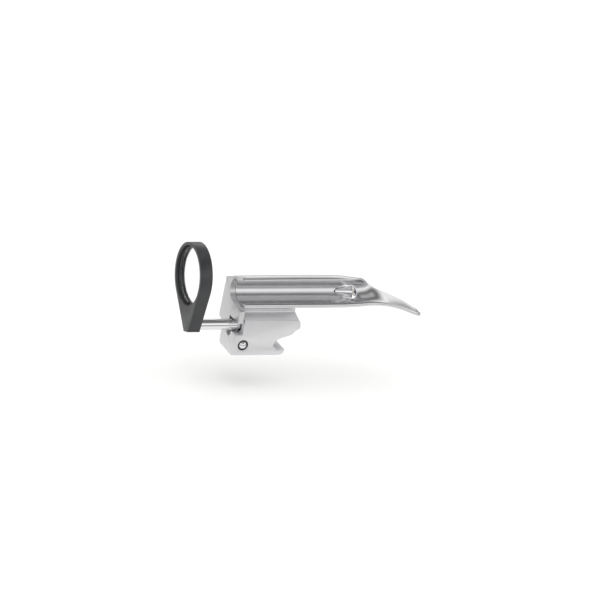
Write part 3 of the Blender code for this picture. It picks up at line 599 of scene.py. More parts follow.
def clear_glass(name, tint, ior, film=0.0):
    """Clear glass with faint polishing haze in its roughness, and a thin coating if film is set."""
    n = Nodes(name, tint, GLASS_ROUGHNESS, **{"IOR": ior, "Transmission Weight": 1.0})
    n.shader.inputs["Thin Film Thickness"].default_value = film
    n.shader.inputs["Thin Film IOR"].default_value = COATING_IOR
    haze = n.noise(HAZE_GRAIN, detail=3.0)
    n.roughness(n.span(haze, 0.4, 0.75, GLASS_ROUGHNESS, GLASS_ROUGHNESS + 0.02))
    n.colour(n.mix_colour(n.span(haze, *NOISE_MIDDLE, 0.0, 1.0), tint, [c * 0.99 for c in tint]))
    return n.material


BLOCK_STEEL = steel("block_satin_steel", (0.72, 0.72, 0.73), 0.36, (350, 9000, 9000), 0.25, 0.05,
                    metallic=0.6)
BLADE_STEEL = steel("blade_polished_steel", (0.72, 0.72, 0.73), 0.24, (500, 6000, 6000), 0.10, 0.035)
PLATE_STEEL = steel("plate_satin_steel", (0.62, 0.62, 0.625), 0.30, (9000, 5000, 400), 0.20, 0.05,
                    metallic=0.8)
SOCKET_STEEL = steel("socket_polished_steel", (0.84, 0.84, 0.85), 0.12, (9000, 900, 900), 0.06, 0.02)
ROD_STEEL = steel("rod_mirror_steel", (0.80, 0.80, 0.81), 0.055, (9000, 900, 900), 0.06, 0.02)
BALL_STEEL = steel("ball_mirror_steel", (0.78, 0.78, 0.79), 0.06, (2500, 2500, 2500), 0.04, 0.02)
DARK_STEEL = steel("blackened_steel", (0.09, 0.09, 0.095), 0.34, (3000, 3000, 3000), 0.15, 0.06)
BRASS = steel("turned_brass", (0.78, 0.60, 0.30), 0.25, (9000, 900, 900), 0.15, 0.06)
FRAME_PLASTIC = moulded("charcoal_frame", (0.032, 0.033, 0.035), 0.36)
INSULATOR = moulded("cream_insulator", (0.72, 0.70, 0.63), 0.5)
LEAD_SLEEVE = moulded("red_lead_sleeve", (0.42, 0.04, 0.03), 0.48)
LENS_GLASS = clear_glass("lens_crown_glass", (0.985, 0.99, 0.995), ior=1.15, film=110.0)
LAMP_GLASS = clear_glass("lamp_bulb_glass", (0.96, 0.97, 0.97), ior=1.47)


# ------------------------------------------------------------------ the lamp's place
LAMP_TURNED = Matrix.Rotation(-LAMP_TURN, 4, "Z") @ Matrix.Rotation(-LAMP_RISE, 4, "Y")
LAMP_PLACE = Matrix.Translation(LAMP_MOUTH) @ LAMP_TURNED


# ------------------------------------------------------------------ blade
FLAT_STEPS = 14
ARC_STEPS = 60
END_STEPS = 10
# Stations along x: (first, spacing, count), and the thinned ends as (position, share of thickness).
STATION_RUNS = ((3.0, 1.5, 28), (45.5, 0.5, 61), (TIP_START_X, 0.25, 32))
REAR_ROUND = ((BLADE_REAR_X, 0.7), (BLADE_REAR_X + 0.08, 0.88), (BLADE_REAR_X + 0.25, 1.0))
TIP_ROUND = ((83.95, 0.97), (84.08, 0.88), (84.16, 0.7), (TIP_X, 0.35))


def channel_line(x):
    """Middle of the sheet in the gutter, from the near lip round to the top flange's edge."""
    floor_z = CHANNEL[1] - CHANNEL_RADIUS
    lip_z = along(NEAR_EDGE_Z, x)
    line = []
    for i in range(FLAT_STEPS):
        t = i / FLAT_STEPS
        line.append((LIP_Y + (CHANNEL[0] - LIP_Y) * t, floor_z + (lip_z - floor_z) * (1 - t)**2))
    for y, z in arc(CHANNEL, CHANNEL_RADIUS, -90, along(TOP_ANGLE, x), ARC_STEPS):
        rise = (z - CHANNEL[1]) * along(TOP_SQUASH, x) if z > CHANNEL[1] else z - CHANNEL[1]
        line.append((y, CHANNEL[1] + rise))
    return line


def spatula_line(x):
    """Middle of the sheet in the spatula, a shallow trough from the near to the far edge."""
    near_z, far_z = along(NEAR_EDGE_Z, x), along(FAR_EDGE_Z, x)
    middle = sum(SPATULA_EDGE_Y) / 2
    half = (SPATULA_EDGE_Y[1] - SPATULA_EDGE_Y[0]) / 2
    t = max(0.0, (x - TIP_START_X) / (TIP_X - TIP_START_X))
    half *= math.sqrt(max(1 - t**TIP_POWER, TIP_LEAST))
    steps = FLAT_STEPS + ARC_STEPS
    line = []
    for i in range(steps + 1):
        u = i / steps
        sag = SPATULA_SAG * 4 * u * (1 - u)
        line.append((middle - half + 2 * half * u, near_z + (far_z - near_z) * u - sag))
    return line


def flattening(x):
    """Share of the spatula's form at x: 0 in the gutter, 1 in the spatula."""
    return smooth((x - FLATTEN_X[0]) / (FLATTEN_X[1] - FLATTEN_X[0]))


def sheet_line(x):
    """Middle of the sheet at x, from the gutter's form to the spatula's."""
    mix = flattening(x)
    return [Vector(a).lerp(Vector(b), mix) for a, b in zip(channel_line(x), spatula_line(x))]


def round_end(centre, radius):
    """Points of the half circle that closes the sheet's edge, without its two ends."""
    points = []
    for i in range(1, END_STEPS):
        angle = -math.pi * i / END_STEPS
        points.append(centre + Vector((radius.x * math.cos(angle) - radius.y * math.sin(angle),
                                       radius.x * math.sin(angle) + radius.y * math.cos(angle))))
    return points


def sheet_ring(x, thin):
    """The closed outline of the sheet at x: inner face, rounded edge, outer face, near bead."""
    line = sheet_line(x)
    bead = BEAD_RADIUS + (SPATULA_BEAD - BEAD_RADIUS) * flattening(x)
    travelled = 0.0
    inner, outer = [], []
    for i, point in enumerate(line):
        before, after = line[max(i - 1, 0)], line[min(i + 1, len(line) - 1)]
        heading = (after - before).normalized()
        normal = Vector((-heading.y, heading.x))
        travelled += (point - line[i - 1]).length if i else 0.0
        half = SHEET / 2 + (bead - SHEET / 2) * math.exp(-(travelled / BEAD_REACH)**2)
        inner.append(point + normal * half * thin)
        outer.append(point - normal * half * thin)
    first, last = (inner[0] - outer[0]) / 2, (inner[-1] - outer[-1]) / 2
    near_end = round_end((inner[0] + outer[0]) / 2, -first)
    far_end = round_end((inner[-1] + outer[-1]) / 2, last)
    return inner + far_end + outer[::-1] + near_end


def blade_stations():
    """Stations along x with the share of full thickness, close together where the form turns."""
    full = [(first + spacing * i, 1.0) for first, spacing, count in STATION_RUNS for i in range(count)]
    return [*REAR_ROUND, *full, *TIP_ROUND]


def window_tool():
    """Tapered cutter with a domed front that opens the gutter's wall around the lamp socket."""
    dome = [(WINDOW_MOUTH_RADIUS * math.sin(a), WINDOW_DOME * math.cos(a))
            for a in (math.pi / 2 * i / DOME_STEPS for i in range(DOME_STEPS + 1))]
    rear = [(WINDOW_REAR_RADIUS, -WINDOW_TAPER), (WINDOW_REAR_RADIUS, -WINDOW_REACH),
            (0.0, -WINDOW_REACH)]
    return spun("tool", dome + rear, "X", LAMP_PLACE, 128, closed=False)


def make_blade():
    """The sheet as one skin through its stations, with the lamp's window cut in the wall."""
    def build(bm):
        rings = []
        for x, thin in blade_stations():
            rings.append([bm.verts.new((x, p.x, p.y)) for p in sheet_ring(x, thin)])
        for here, there in zip(rings, rings[1:]):
            for i in range(len(here)):
                j = (i + 1) % len(here)
                bm.faces.new((here[i], here[j], there[j], there[i]))
        bm.faces.new(rings[0][::-1])
        bm.faces.new(rings[-1])
    blade = mesh_object("blade_shell", build)
    boolean(blade, window_tool())
    shade(blade, 50)
    dress(blade, BLADE_STEEL, "root", "polished_steel", "blade")


# ------------------------------------------------------------------ heel
def block_side_outline():
    """The block from the side (x, z): seat, hook, pin seat, slot roof, body, neck and ledge."""
    hook = [(*point, 0.0) for point in arc((TONGUE_LENGTH, HOOK_CORNER), HOOK_CORNER, *HOOK_ARC, 24)]
    lip = [(22.5, 3.04, 0.15), (22.0, 3.05, 0.2), (21.3, 2.85, 0.3)]
    pin_seat = [(*point, 0.0) for point in arc(PIN_SEAT, PIN_SEAT_RADIUS, *PIN_SEAT_ARC, 40)]
    roof = [(17.8, 6.1, 0.3), (18.7, 6.95, 0.5), (20.3, 7.7, 0.8), (23.0, 8.6, 0.7), (24.6, 9.1, 0.4),
            (25.3, 9.6, 0.35), (25.7, 10.3, 0.35), (26.4, 11.0, 0.4), (27.8, 11.75, 0.25)]
    nose = [(BODY_FRONT_X, 12.3, 0.2), (BODY_FRONT_X, 13.0, 0.3), (27.7, 14.7, 0.2)]
    top = [(SHOULDER_X, SHOULDER_Z, 0.0), (NECK_FRONT_X, SHOULDER_TOP_Z, 0.0),
           (NECK_FRONT_X - NECK_STEP, CHANNEL[1], 0.0), (BODY_REAR_X, CHANNEL[1], 0.0)]
    ledge = [(BODY_REAR_X, LEDGE_Z, 0.0), (0.0, LEDGE_Z, 0.0), (0.0, 0.0, 0.0)]
    corners = hook + lip + pin_seat + roof + nose + top + ledge
    return rounded([(x, z) for x, z, _ in corners], [radius for _, _, radius in corners], 5)


def saddle_z(y):
    """Height of the neck's top at y, just below the sheet."""
    line = [p for p in channel_line(BLADE_REAR_X) if p[1] < CHANNEL[1]]
    (y0, z0), (y1, z1) = sorted(sorted(line, key=lambda p: abs(p[0] - y))[:2])
    z = z0 + (z1 - z0) * (y - y0) / (y1 - y0)
    return z - SHEET / 2 - SADDLE_GAP


def block_end_outline():
    """The block from the rear (y, z): chamfered seat, cheeks, shoulders and the brazed neck."""
    half, chamfer = TONGUE_HALF, SEAT_CHAMFER
    flare, waist = NECK_HALF + NECK_FLARE, NECK_HALF - NECK_WAIST
    foot = NECK_HALF + NECK_FOOT
    right = [(half - chamfer, 0.0), (half, chamfer), (half, SHOULDER_Z), (foot, SHOULDER_TOP_Z)]
    rise = [(waist + out, z) for out, z in NECK_RISE] + [(flare, saddle_z(flare))]
    across = [flare - 2 * flare * i / SADDLE_STEPS for i in range(1, SADDLE_STEPS)]
    saddle = [(y, saddle_z(y)) for y in across]
    left_rise = [(-flare, saddle_z(-flare)), (-waist - NECK_RISE[-1][0], NECK_LEFT_Z)]
    left_rise += [(-waist - out, z) for out, z in NECK_RISE[-2::-1]]
    left = [(-foot, SHOULDER_TOP_Z), (-half, SHOULDER_Z), (-half, chamfer), (-half + chamfer, 0.0)]
    return right + rise + saddle + left_rise + left


def detent_place(side):
    """The detents' axis, turned so that its outward end is on the given side."""
    turn = Matrix.Rotation(math.pi if side < 0 else 0, 4, "Z")
    return Matrix.Translation((DETENT_X, 0, DETENT_Z)) @ turn


def ball_pocket(side):
    """A stepped pocket for a ball: bore, then the wider recess of its retaining ring."""
    recess, outside = TONGUE_HALF - BALL_RECESS_DEPTH, TONGUE_HALF + OVERCUT
    profile = [(0.0, BALL_BORE_FLOOR), (BALL_BORE_RADIUS, BALL_BORE_FLOOR), (BALL_BORE_RADIUS, recess),
               (BALL_RECESS_RADIUS, recess), (BALL_RECESS_RADIUS, outside), (0.0, outside)]
    return spun("tool", profile, "Y", detent_place(side), 64, closed=False)


def lead_hole_tool():
    """Slanted hole for the lead, through the block's cheek and the cover's near wall."""
    way = LEAD_EXIT - LEAD_START
    start = LEAD_START - way.normalized() * LEAD_HOLE_BACK
    return tube("tool", [start, LEAD_START + way * LEAD_HOLE_REACH], LEAD_HOLE, 32)


def make_heel_block():
    """Machined block with its rod bore, rear notch, ball pockets, contact hole and lead hole."""
    half = TONGUE_HALF + OVERCUT
    block = prism("heel_block_machined", block_side_outline(), "XZ", -half, half)
    end_shape = prism("tool", block_end_outline(), "YZ", -OVERCUT, BODY_FRONT_X + OVERCUT)
    boolean(block, end_shape, "INTERSECT")
    rod_axis = (0, ROD_Y, ROD_Z)
    boolean(block, cylinder_tool("X", BODY_REAR_X - SKIM, ROD_BORE_END_X, ROD_BORE_RADIUS, rod_axis, 64))
    notch_axis = (0, *ACCESS_NOTCH)
    boolean(block, cylinder_tool("X", -OVERCUT, ACCESS_NOTCH_DEPTH, ACCESS_NOTCH_RADIUS, notch_axis, 64))
    for side in (-1, 1):
        boolean(block, ball_pocket(side))
    boolean(block, cylinder_tool("Z", -OVERCUT, CONTACT_TOP_Z, CONTACT_HOLE, (CONTACT_X, 0, 0), 48))
    boolean(block, cylinder_tool("X", -OVERCUT, LOCK_END_X, LOCK_HOLE, (0, 0, LOCK_Z), 48))
    boolean(block, lead_hole_tool())
    soften(block, BLOCK_EDGE)
    shade(block, 30)
    dress(block, BLOCK_STEEL, "root", "satin_steel", "heel_block")


def plate_outline():
    """The plate from the rear (y, z), with its round mouth open to the gutter."""
    centre = (PLATE_FAR_Y - PLATE_CORNER, PLATE_FOOT_Z + PLATE_CORNER)
    corner = arc(centre, PLATE_CORNER, -90, 0, 12)
    collar = arc(CHANNEL, CHANNEL_RADIUS + SHEET / 2, *COLLAR_ANGLES, 24)
    mouth = arc(CHANNEL, MOUTH_RADIUS, COLLAR_ANGLES[1], MOUTH_END_ANGLE, 64)
    shelf = [PLATE_SILL, (PLATE_NEAR_Y + PLATE_CHAMFER, PLATE_SHELF_Z),
             (PLATE_NEAR_Y, PLATE_SHELF_Z - PLATE_CHAMFER)]
    notch = [(PLATE_NEAR_Y, PLATE_NOTCH[1]), (PLATE_NOTCH[0], PLATE_NOTCH[1]), (PLATE_NOTCH[0], PLATE_FOOT_Z)]
    crest = rounded([PLATE_SHOULDER, PLATE_CREST_BEND, PLATE_CREST], PLATE_CREST_RADII, 5)
    return notch + corner + crest + collar + mouth + shelf


def weigh_plate_edges(plate):
    """Full bevel weight on the mouth's rear rim, a small share of it on the other hard edges."""
    bm = bmesh.new()
    bm.from_mesh(plate.data)
    layers = bm.edges.layers.float
    weights = layers.get("bevel_weight_edge") or layers.new("bevel_weight_edge")
    for edge in bm.edges:
        if len(edge.link_faces) < 2 or edge.calc_face_angle(0) < math.radians(HARD_EDGE_DEG):
            continue
        points = [Vector(v.co) / MM for v in edge.verts]
        from_centre = [math.hypot(p.y - CHANNEL[0], p.z - CHANNEL[1]) for p in points]
        rear = all(p.x - REAR < ON_FACE for p in points)
        at_mouth = rear and all(abs(d - MOUTH_RADIUS) < ON_CIRCLE for d in from_centre)
        edge[weights] = 1.0 if at_mouth else PLATE_EDGE_SHARE
    bm.to_mesh(plate.data)
    bm.free()


def make_heel_plate():
    """Flat plate across the rear end; the rear rim of its round mouth is well rounded."""
    plate = prism("heel_plate_pressed", plate_outline(), "YZ", *PLATE_X)
    weigh_plate_edges(plate)
    modifier = plate.modifiers.new("soften", "BEVEL")
    modifier.width = MOUTH_ROLL * MM
    modifier.segments = 5
    modifier.limit_method = "WEIGHT"
    apply_modifiers(plate)
    shade(plate, 35)
    dress(plate, PLATE_STEEL, "root", "satin_steel", "heel_plate")


def cover_outline(inset):
    """Rear view (y, z) of the wire cover's skin, rounded on its far side."""
    near, far = COVER_Y[0] + inset, COVER_Y[1] - inset
    foot, top = COVER_Z[0] + inset, COVER_Z[1] - inset
    radius = COVER_CORNER - inset
    lower = arc((far - radius, foot + radius), radius, -90, 0, 16)
    upper = arc((far - radius, top - radius), radius, 0, 90, 16)
    return [(near, foot)] + lower + upper + [(near, top)]


def make_wire_cover():
    """Drawn cover beside the block with softened corners, open to the plate."""
    rear, front = COVER_X
    cover = prism("wire_cover_drawn", cover_outline(0.0), "YZ", rear, front)
    boolean(cover, prism("tool", cover_outline(COVER_WALL), "YZ", rear - OVERCUT, front - COVER_WALL))
    boolean(cover, lead_hole_tool())
    tube_hole = (front, TUBE_Y, tube_corner().z)
    boolean(cover, cylinder_tool("X", -2 * OVERCUT, 2 * OVERCUT, LEAD_HOLE, tube_hole, 48))
    soften(cover, COVER_EDGE, 4)
    shade(cover, 30)
    dress(cover, PLATE_STEEL, "root", "satin_steel", "wire_cover")


# ------------------------------------------------------------------ lamp
def tube_corner():
    """Where the lamp's axis meets the plane of the straight wire tube."""
    direction = LAMP_TURNED @ Vector((1.0, 0.0, 0.0))
    return LAMP_MOUTH + direction * (TUBE_Y - LAMP_MOUTH.y) / direction.y


def tube_axis(rear_x, front_back):
    """The wire tube's path from rear_x to front_back behind the lamp's mouth."""
    corner = tube_corner()
    end = LAMP_PLACE @ Vector((-front_back, 0.0, 0.0))
    return bend_points([(rear_x, TUBE_Y, corner.z), corner, end], TUBE_BEND)


def make_wire_tube():
    """Bent tube that carries the lead from the cover to the lamp socket."""
    outer = tube("wire_tube_bent", tube_axis(TUBE_REAR_X, SOCKET_LENGTH + TUBE_GAP), TUBE_RADIUS, 48)
    bore_axis = tube_axis(TUBE_REAR_X - OVERCUT, SOCKET_LENGTH - OVERCUT)
    boolean(outer, tube("tool", bore_axis, TUBE_BORE, 32))
    soften(outer, TUBE_EDGE, angle_deg=50)
    shade(outer, 35)
    dress(outer, BLADE_STEEL, "root", "polished_steel", "wire_tube")


def make_lamp_socket():
    """Tapered socket with a rolled mouth and a shallow turned groove behind it."""
    (mouth, rear), (bore_mouth, bore_rear) = SOCKET_RADIUS, SOCKET_BORE

    def skin(x):
        return mouth + (mouth - rear) * x / SOCKET_LENGTH

    depths = (0.0, GROOVE_DEPTH, GROOVE_DEPTH, 0.0)
    groove = [(skin(x) - depth, x) for x, depth in zip(GROOVE_X, depths)]
    heel = [(rear, -SOCKET_LENGTH + SOCKET_HEEL[1]), (rear - SOCKET_HEEL[0], -SOCKET_LENGTH)]
    flare, depth = SOCKET_FUNNEL
    bore = [(bore_rear, -SOCKET_LENGTH), (bore_mouth, -depth), (bore_mouth + flare, 0.0)]
    lip = arc((mouth - SOCKET_LIP, -SOCKET_LIP), SOCKET_LIP, 80, 0, 8)
    profile = [(mouth - SOCKET_LIP, 0.0)] + lip + groove + heel + bore
    socket = spun("lamp_socket_turned", profile, "X", LAMP_PLACE)
    shade(socket, 30)
    dress(socket, SOCKET_STEEL, "root", "polished_steel", "lamp_socket")


def make_bulb():
    """Thin-walled domed glass, open at its foot."""
    centre = (0.0, GLASS_LENGTH - GLASS_RADIUS)
    inner = GLASS_RADIUS - GLASS_WALL
    outside = arc(centre, GLASS_RADIUS, 0, 90, BULB_STEPS)
    inside = arc(centre, inner, 90, 0, BULB_STEPS)
    across, up = GLASS_FOOT_ROUND
    foot = [(inner, GLASS_FOOT + up), (inner + across, GLASS_FOOT), (GLASS_RADIUS - across, GLASS_FOOT),
            (GLASS_RADIUS, GLASS_FOOT + up)]
    glass = spun("lamp_bulb", outside + inside + foot, "X", LAMP_PLACE, 64)
    shade(glass, 60)
    dress(glass, LAMP_GLASS, "root", "lamp_glass", "lamp_glass")


def make_lamp_base():
    """Threaded shell of the lamp: rounded thread rings between a rear collar and the front rim."""
    radius, bore = LAMP_BASE_RADIUS, LAMP_BASE_BORE
    rear, front = LAMP_BASE_X
    threads = []
    for i in range(THREAD_STEPS + 1):
        x = THREAD_X + THREAD_LENGTH * i / THREAD_STEPS
        wave = math.cos(2 * math.pi * i / THREAD_TURN_STEPS)
        threads.append((radius - THREAD_ROOT + THREAD_DEPTH * wave, x))
    edge, collar, rim = (radius - step for step in (BASE_CHAMFER, BASE_COLLAR[0], BASE_RIM[0]))
    back = [(bore, front), (bore, rear), (edge, rear), (collar, rear + BASE_COLLAR[1])]
    face = [(rim, BASE_RIM_X), (rim, front - BASE_RIM[1]), (edge, front)]
    profile = back + threads + face
    base = spun("lamp_base_threaded", profile, "X", LAMP_PLACE, 64)
    shade(base, 40)
    dress(base, BRASS, "root", "brass", "lamp_base")


def make_filament():
    """Two posts and the coiled filament between them, as one bent wire."""
    post = FILAMENT_POST
    coil = []
    for i in range(FILAMENT_STEPS + 1):
        angle = 2 * math.pi * i / FILAMENT_TURN_STEPS
        forward, up = FILAMENT_RADIUS * math.cos(angle), FILAMENT_RADIUS * math.sin(angle)
        coil.append(Vector((FILAMENT_X + forward, post * (1 - 2 * i / FILAMENT_STEPS) * FILAMENT_SPREAD, up)))
    start = [Vector((POST_REAR_X, post, 0)), Vector((POST_END_X, post, 0))]
    end = [Vector((POST_END_X, -post, 0)), Vector((POST_REAR_X, -post, 0))]
    path = [LAMP_PLACE @ point for point in start + coil + end]
    filament = tube("filament_and_posts", path, FILAMENT_WIRE, 10)
    shade(filament, 50)
    dress(filament, DARK_STEEL, "root", "dark_steel", "lamp_filament")


def make_lamp():
    make_wire_tube()
    make_lamp_socket()
    make_lamp_base()
    make_bulb()
    make_filament()


# ------------------------------------------------------------------ detents
def make_spring(side, name):
    """Round-wire spring behind a ball, wound here at one length; in the real piece it shortens as the ball is
    pressed in.
    """
    start, end = SPRING_Y
    steps = SPRING_TURNS * SPRING_TURN_STEPS
    points = []
    for i in range(steps + 1):
        angle = 2 * math.pi * i / SPRING_TURN_STEPS
        x, z = SPRING_RADIUS * math.cos(angle), SPRING_RADIUS * math.sin(angle)
        points.append((DETENT_X + x, side * (start + (end - start) * i / steps), DETENT_Z + z))
    spring = tube("spring_wound_" + name, points, SPRING_WIRE, 12)
    shade(spring, 50)
    dress(spring, BALL_STEEL, "root", "ball_steel", "detent_spring_" + name)
    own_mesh(spring)


def make_ball(side, name):
    """Ball that looks out of the block's side."""
    def build(bm):
        bmesh.ops.create_icosphere(bm, subdivisions=5, radius=BALL_RADIUS)
    ball = mesh_object("ball_" + name, build, Matrix.Translation((DETENT_X, side * BALL_Y, DETENT_Z)))
    shade(ball, 60)
    dress(ball, BALL_STEEL, "ball_" + name, "ball_steel", "detent_ball_" + name)


def make_ball_ring(side, name):
    """Retaining ring around a ball, chamfered on its outward face; its dark colour is partly painted shade
    that stands in for the shadow gap around the ball.
    """
    (inner, outer), (back, face) = BALL_RING_RADII, BALL_RING_Y
    chamfer, dish = BALL_RING_CHAMFER, BALL_RING_DISH
    profile = [(inner, back), (outer, back), (outer, face - chamfer), (outer - chamfer, face),
               (inner - dish, face), (inner - dish - chamfer, face - chamfer)]
    ring = spun("ball_ring_" + name, profile, "Y", detent_place(side))
    shade(ring, 35)
    # The dark steel here is partly painted shade: besides the ring's own dark finish, it stands in for the
    # shadow gap around the ball.
    dress(ring, DARK_STEEL, "root", "dark_steel", "ball_retainer_" + name)


def make_detents():
    for side, name in ((-1, "right"), (1, "left")):
        make_ball(side, name)
        make_ball_ring(side, name)
        make_spring(side, name)


# ------------------------------------------------------------------ magnifier
LEAN = Matrix.Translation((0, ROD_Y, ROD_Z)) @ Matrix.Rotation(FRAME_LEAN, 4, "X")
LENS_PLACE = LEAN @ Matrix.Translation((0, 0, LENS_OFFSET))


def make_rod():
    """Polished rod with a rounded nose and the thinner spigot that the frame's stem sits on."""
    rear, front = ROD_X
    spigot = [(0.0, SPIGOT_REAR_X), (SPIGOT_RADIUS - SPIGOT_CHAMFER, SPIGOT_REAR_X),
              (SPIGOT_RADIUS, SPIGOT_REAR_X + SPIGOT_CHAMFER), (SPIGOT_RADIUS, rear)]
    shoulder = [(ROD_RADIUS - ROD_CHAMFER, rear), (ROD_RADIUS, rear + ROD_CHAMFER)]
    nose = arc((ROD_RADIUS - ROD_NOSE, front - ROD_NOSE), ROD_NOSE, 0, 90, 10)
    profile = spigot + shoulder + nose + [(0.0, front)]
    rod = spun("rod_polished", profile, "X", Matrix.Translation((0, ROD_Y, ROD_Z)), 128, closed=False)
    shade(rod, 30)
    dress(rod, ROD_STEEL, "magnifier", "rod_steel", "magnifier_rod")


def frame_outline():
    """Teardrop seen along the rod: the lens circle above, tapering to the foot of the stem."""
    tangent = math.degrees(math.asin((FRAME_RADIUS - STEM_HALF_ROD) / LENS_OFFSET))
    ring = arc((0, LENS_OFFSET), FRAME_RADIUS, -tangent, 180 + tangent, 128)
    foot = rounded([(-STEM_HALF, STEM_FOOT + STEM_CHAMFER), (-STEM_HALF + STEM_CHAMFER, STEM_FOOT),
                    (STEM_HALF - STEM_CHAMFER, STEM_FOOT), (STEM_HALF, STEM_FOOT + STEM_CHAMFER)],
                   STEM_ROUND, 4)
    return ring + foot


def make_lens_frame():
    """Moulded frame with the lens's seat, and holes for the rod's spigot and the grub screw."""
    holder = prism("lens_frame_moulded", frame_outline(), "YZ", *FRAME_X, LEAN)
    lean = LEAN.to_3x3().to_4x4()
    centre = LENS_PLACE.translation
    rear, front = FRAME_X
    seat, outside = front - FRAME_LIP, front + OVERCUT
    boolean(holder, cylinder_tool("X", rear - OVERCUT, seat, FRAME_OPENING, centre, 192, lean))
    boolean(holder, cylinder_tool("X", seat - OVERCUT, outside, FRAME_LIP_RADIUS, centre, 192, lean))
    spigot_hole = SPIGOT_RADIUS + PRESS_GAP
    spigot_end = SPIGOT_REAR_X - SPIGOT_END_GAP
    boolean(holder, cylinder_tool("X", spigot_end, outside, spigot_hole, LEAN.translation, 48))
    screw_hole = STEM_SCREW_RADIUS + PRESS_GAP
    screw_at = LEAN @ Vector(((rear + front) / 2, 0, 0))
    boolean(holder, cylinder_tool("Z", STEM_FOOT - OVERCUT, 0, screw_hole, screw_at, 32, lean))
    soften(holder, FRAME_EDGE, 4)
    shade(holder, 30)
    dress(holder, FRAME_PLASTIC, "magnifier", "frame_plastic", "lens_frame")


def make_lens():
    """Biconvex lens with a ground edge."""
    front_x = LENS_REAR_X + LENS_EDGE
    curve = (LENS_RADIUS**2 + LENS_SAG**2) / (2 * LENS_SAG)
    reach = LENS_RADIUS - LENS_RIM
    rims = [reach * math.sin(math.radians(90 * i / LENS_STEPS)) for i in range(LENS_STEPS + 1)]
    bulge = [math.sqrt(curve**2 - r**2) - (curve - LENS_SAG) for r in rims]
    rear = [(r, LENS_REAR_X - b) for r, b in zip(rims, bulge)]
    front = [(r, front_x + b) for r, b in zip(rims, bulge)]
    edge = [(LENS_RADIUS, LENS_REAR_X + LENS_CHAMFER), (LENS_RADIUS, front_x - LENS_CHAMFER)]
    lens = spun("lens_disc", rear + edge + front[::-1], "X", LENS_PLACE, 160, closed=False)
    shade(lens, 50)
    dress(lens, LENS_GLASS, "magnifier", "lens_glass", "lens")


def make_lens_ring():
    """Split wire ring that holds the lens in its frame."""
    ring_x = LENS_REAR_X - RING_WIRE - RING_BEHIND
    sweep = arc((0, 0), RING_RADIUS, -90 + RING_GAP_DEG / 2, 270 - RING_GAP_DEG / 2, 160)
    path = [LENS_PLACE @ Vector((ring_x, y, z)) for y, z in sweep]
    ring = tube("lens_ring_sprung", path, RING_WIRE, 20)
    shade(ring, 50)
    dress(ring, DARK_STEEL, "magnifier", "dark_steel", "lens_retaining_ring")


# ------------------------------------------------------------------ carried-over CAD nodes
def finish_cad_nodes():
    """Small inner pieces keep their CAD solids and get the fine materials."""
    finishes = {
        "friction_bush": DARK_STEEL, "contact_lock_screw": DARK_STEEL, "stem_screw": DARK_STEEL,
        "contact_bush": INSULATOR, "lamp_insulator": INSULATOR,
        "contact_pin": BRASS, "lamp_contact": BRASS, "lamp_lead": LEAD_SLEEVE,
    }
    for node, material in finishes.items():
        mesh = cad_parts[node].data
        mesh.materials.clear()
        mesh.materials.append(material)


# ------------------------------------------------------------------ studio
VIEW_AZIMUTH = math.radians(-26.9)
VIEW_ELEVATION = math.radians(22.1)
VIEW_ROLL = math.radians(10.4)
LENS_MM = 240.0
SENSOR_MM = 36.0
CLIP = (0.01, 20.0)
DISTANCE = 1.6194
AIM = at(32.0, 1.0, 22.0)
AIM_OFFSET = (-2.27, -0.93)
FLOOR_Z = -0.014
FLOOR_HALF = 6000.0
SUN_ENERGY = 1.9
SUN_ANGLE = math.radians(80)


def make_camera():
    """The photo's view: from the near side, a little from behind and above, rolled to match."""
    back = Vector((math.sin(VIEW_AZIMUTH) * math.cos(VIEW_ELEVATION),
                   -math.cos(VIEW_AZIMUTH) * math.cos(VIEW_ELEVATION), math.sin(VIEW_ELEVATION)))
    turn = back.to_track_quat("Z", "Y").to_matrix() @ Matrix.Rotation(VIEW_ROLL, 3, "Z")
    camera = bpy.data.objects.new("photo_camera", bpy.data.cameras.new("photo_camera"))
    camera.data.lens = LENS_MM
    camera.data.sensor_width = SENSOR_MM
    camera.data.clip_start, camera.data.clip_end = CLIP
    target = AIM + (turn.col[0] * AIM_OFFSET[0] + turn.col[1] * AIM_OFFSET[1]) * MM
    camera.matrix_world = Matrix.Translation(target + back * DISTANCE) @ turn.to_4x4()
    bpy.context.scene.collection.objects.link(camera)
    bpy.context.scene.camera = camera


def make_floor():
    """Pale floor that lights the part but isn't mirrored in the steel."""
    def build(bm):
        bmesh.ops.create_grid(bm, x_segments=2, y_segments=2, size=FLOOR_HALF)
    floor = mesh_object("studio_floor", build, Matrix.Translation((0, 0, FLOOR_Z / MM)))
    paper = Nodes("pale_floor", (0.93, 0.93, 0.92), 0.9)
    floor.data.materials.append(paper.material)
    floor.visible_glossy = False


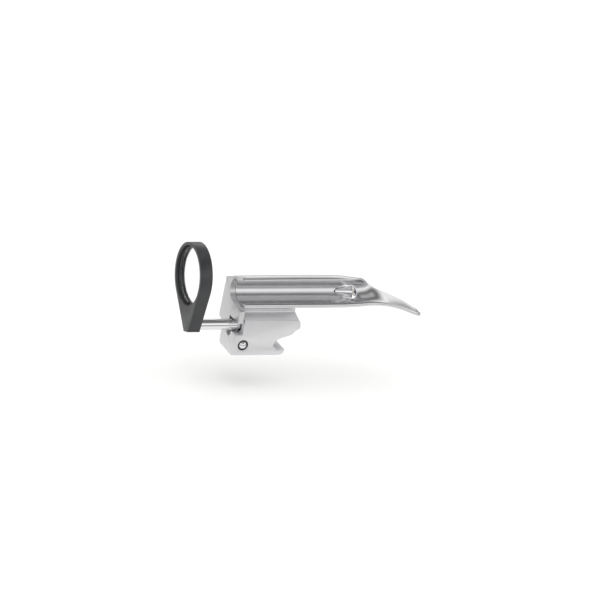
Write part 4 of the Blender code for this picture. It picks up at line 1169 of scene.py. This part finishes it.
# Brightness of the surroundings as (height of the direction from -1 to 1, brightness).
WORLD_BANDS = ((-1.0, 0.95), (-0.60, 1.0), (-0.42, 1.0), (-0.28, 0.75), (-0.12, 0.46), (0.08, 0.36),
               (0.17, 0.85), (0.24, 1.15), (0.45, 1.20), (0.55, 0.90), (0.68, 0.58), (0.78, 0.25),
               (0.88, 0.12), (0.93, 0.25), (1.0, 0.60))


def band_ramp(tree, source, bands):
    """A colour ramp over a direction's component, from -1 to 1."""
    span = tree.nodes.new("ShaderNodeMapRange")
    span.inputs["From Min"].default_value = -1.0
    tree.links.new(source, span.inputs["Value"])
    ramp = tree.nodes.new("ShaderNodeValToRGB")
    elements = ramp.color_ramp.elements
    while len(elements) < len(bands):
        elements.new(0.5)
    for element, (position, value) in zip(elements, bands):
        element.position = 0.5 + 0.5 * position
        element.color = (value, value, value, 1.0)
    tree.links.new(span.outputs["Result"], ramp.inputs["Fac"])
    return ramp.outputs["Color"]


def make_world():
    """Bands of light by height, so that polished steel shows its form."""
    world = bpy.data.worlds.new("studio")
    bpy.context.scene.world = world
    world.use_nodes = True
    tree = world.node_tree
    coordinates = tree.nodes.new("ShaderNodeTexCoord")
    split = tree.nodes.new("ShaderNodeSeparateXYZ")
    tree.links.new(coordinates.outputs["Generated"], split.inputs["Vector"])
    colour = band_ramp(tree, split.outputs["Z"], WORLD_BANDS)
    tree.links.new(colour, tree.nodes["Background"].inputs["Color"])


def make_studio():
    """Soft light from all round and a wide wash from above."""
    make_world()
    sun = bpy.data.objects.new("wash_above", bpy.data.lights.new("wash_above", "SUN"))
    sun.data.energy = SUN_ENERGY
    sun.data.angle = SUN_ANGLE
    sun.visible_glossy = False
    bpy.context.scene.collection.objects.link(sun)
    bpy.context.scene.view_settings.view_transform = "Standard"


make_camera()
make_blade()
make_heel_block()
make_heel_plate()
make_wire_cover()
make_lamp()
make_detents()
make_rod()
make_lens_frame()
make_lens()
make_lens_ring()
finish_cad_nodes()
make_floor()
make_studio()
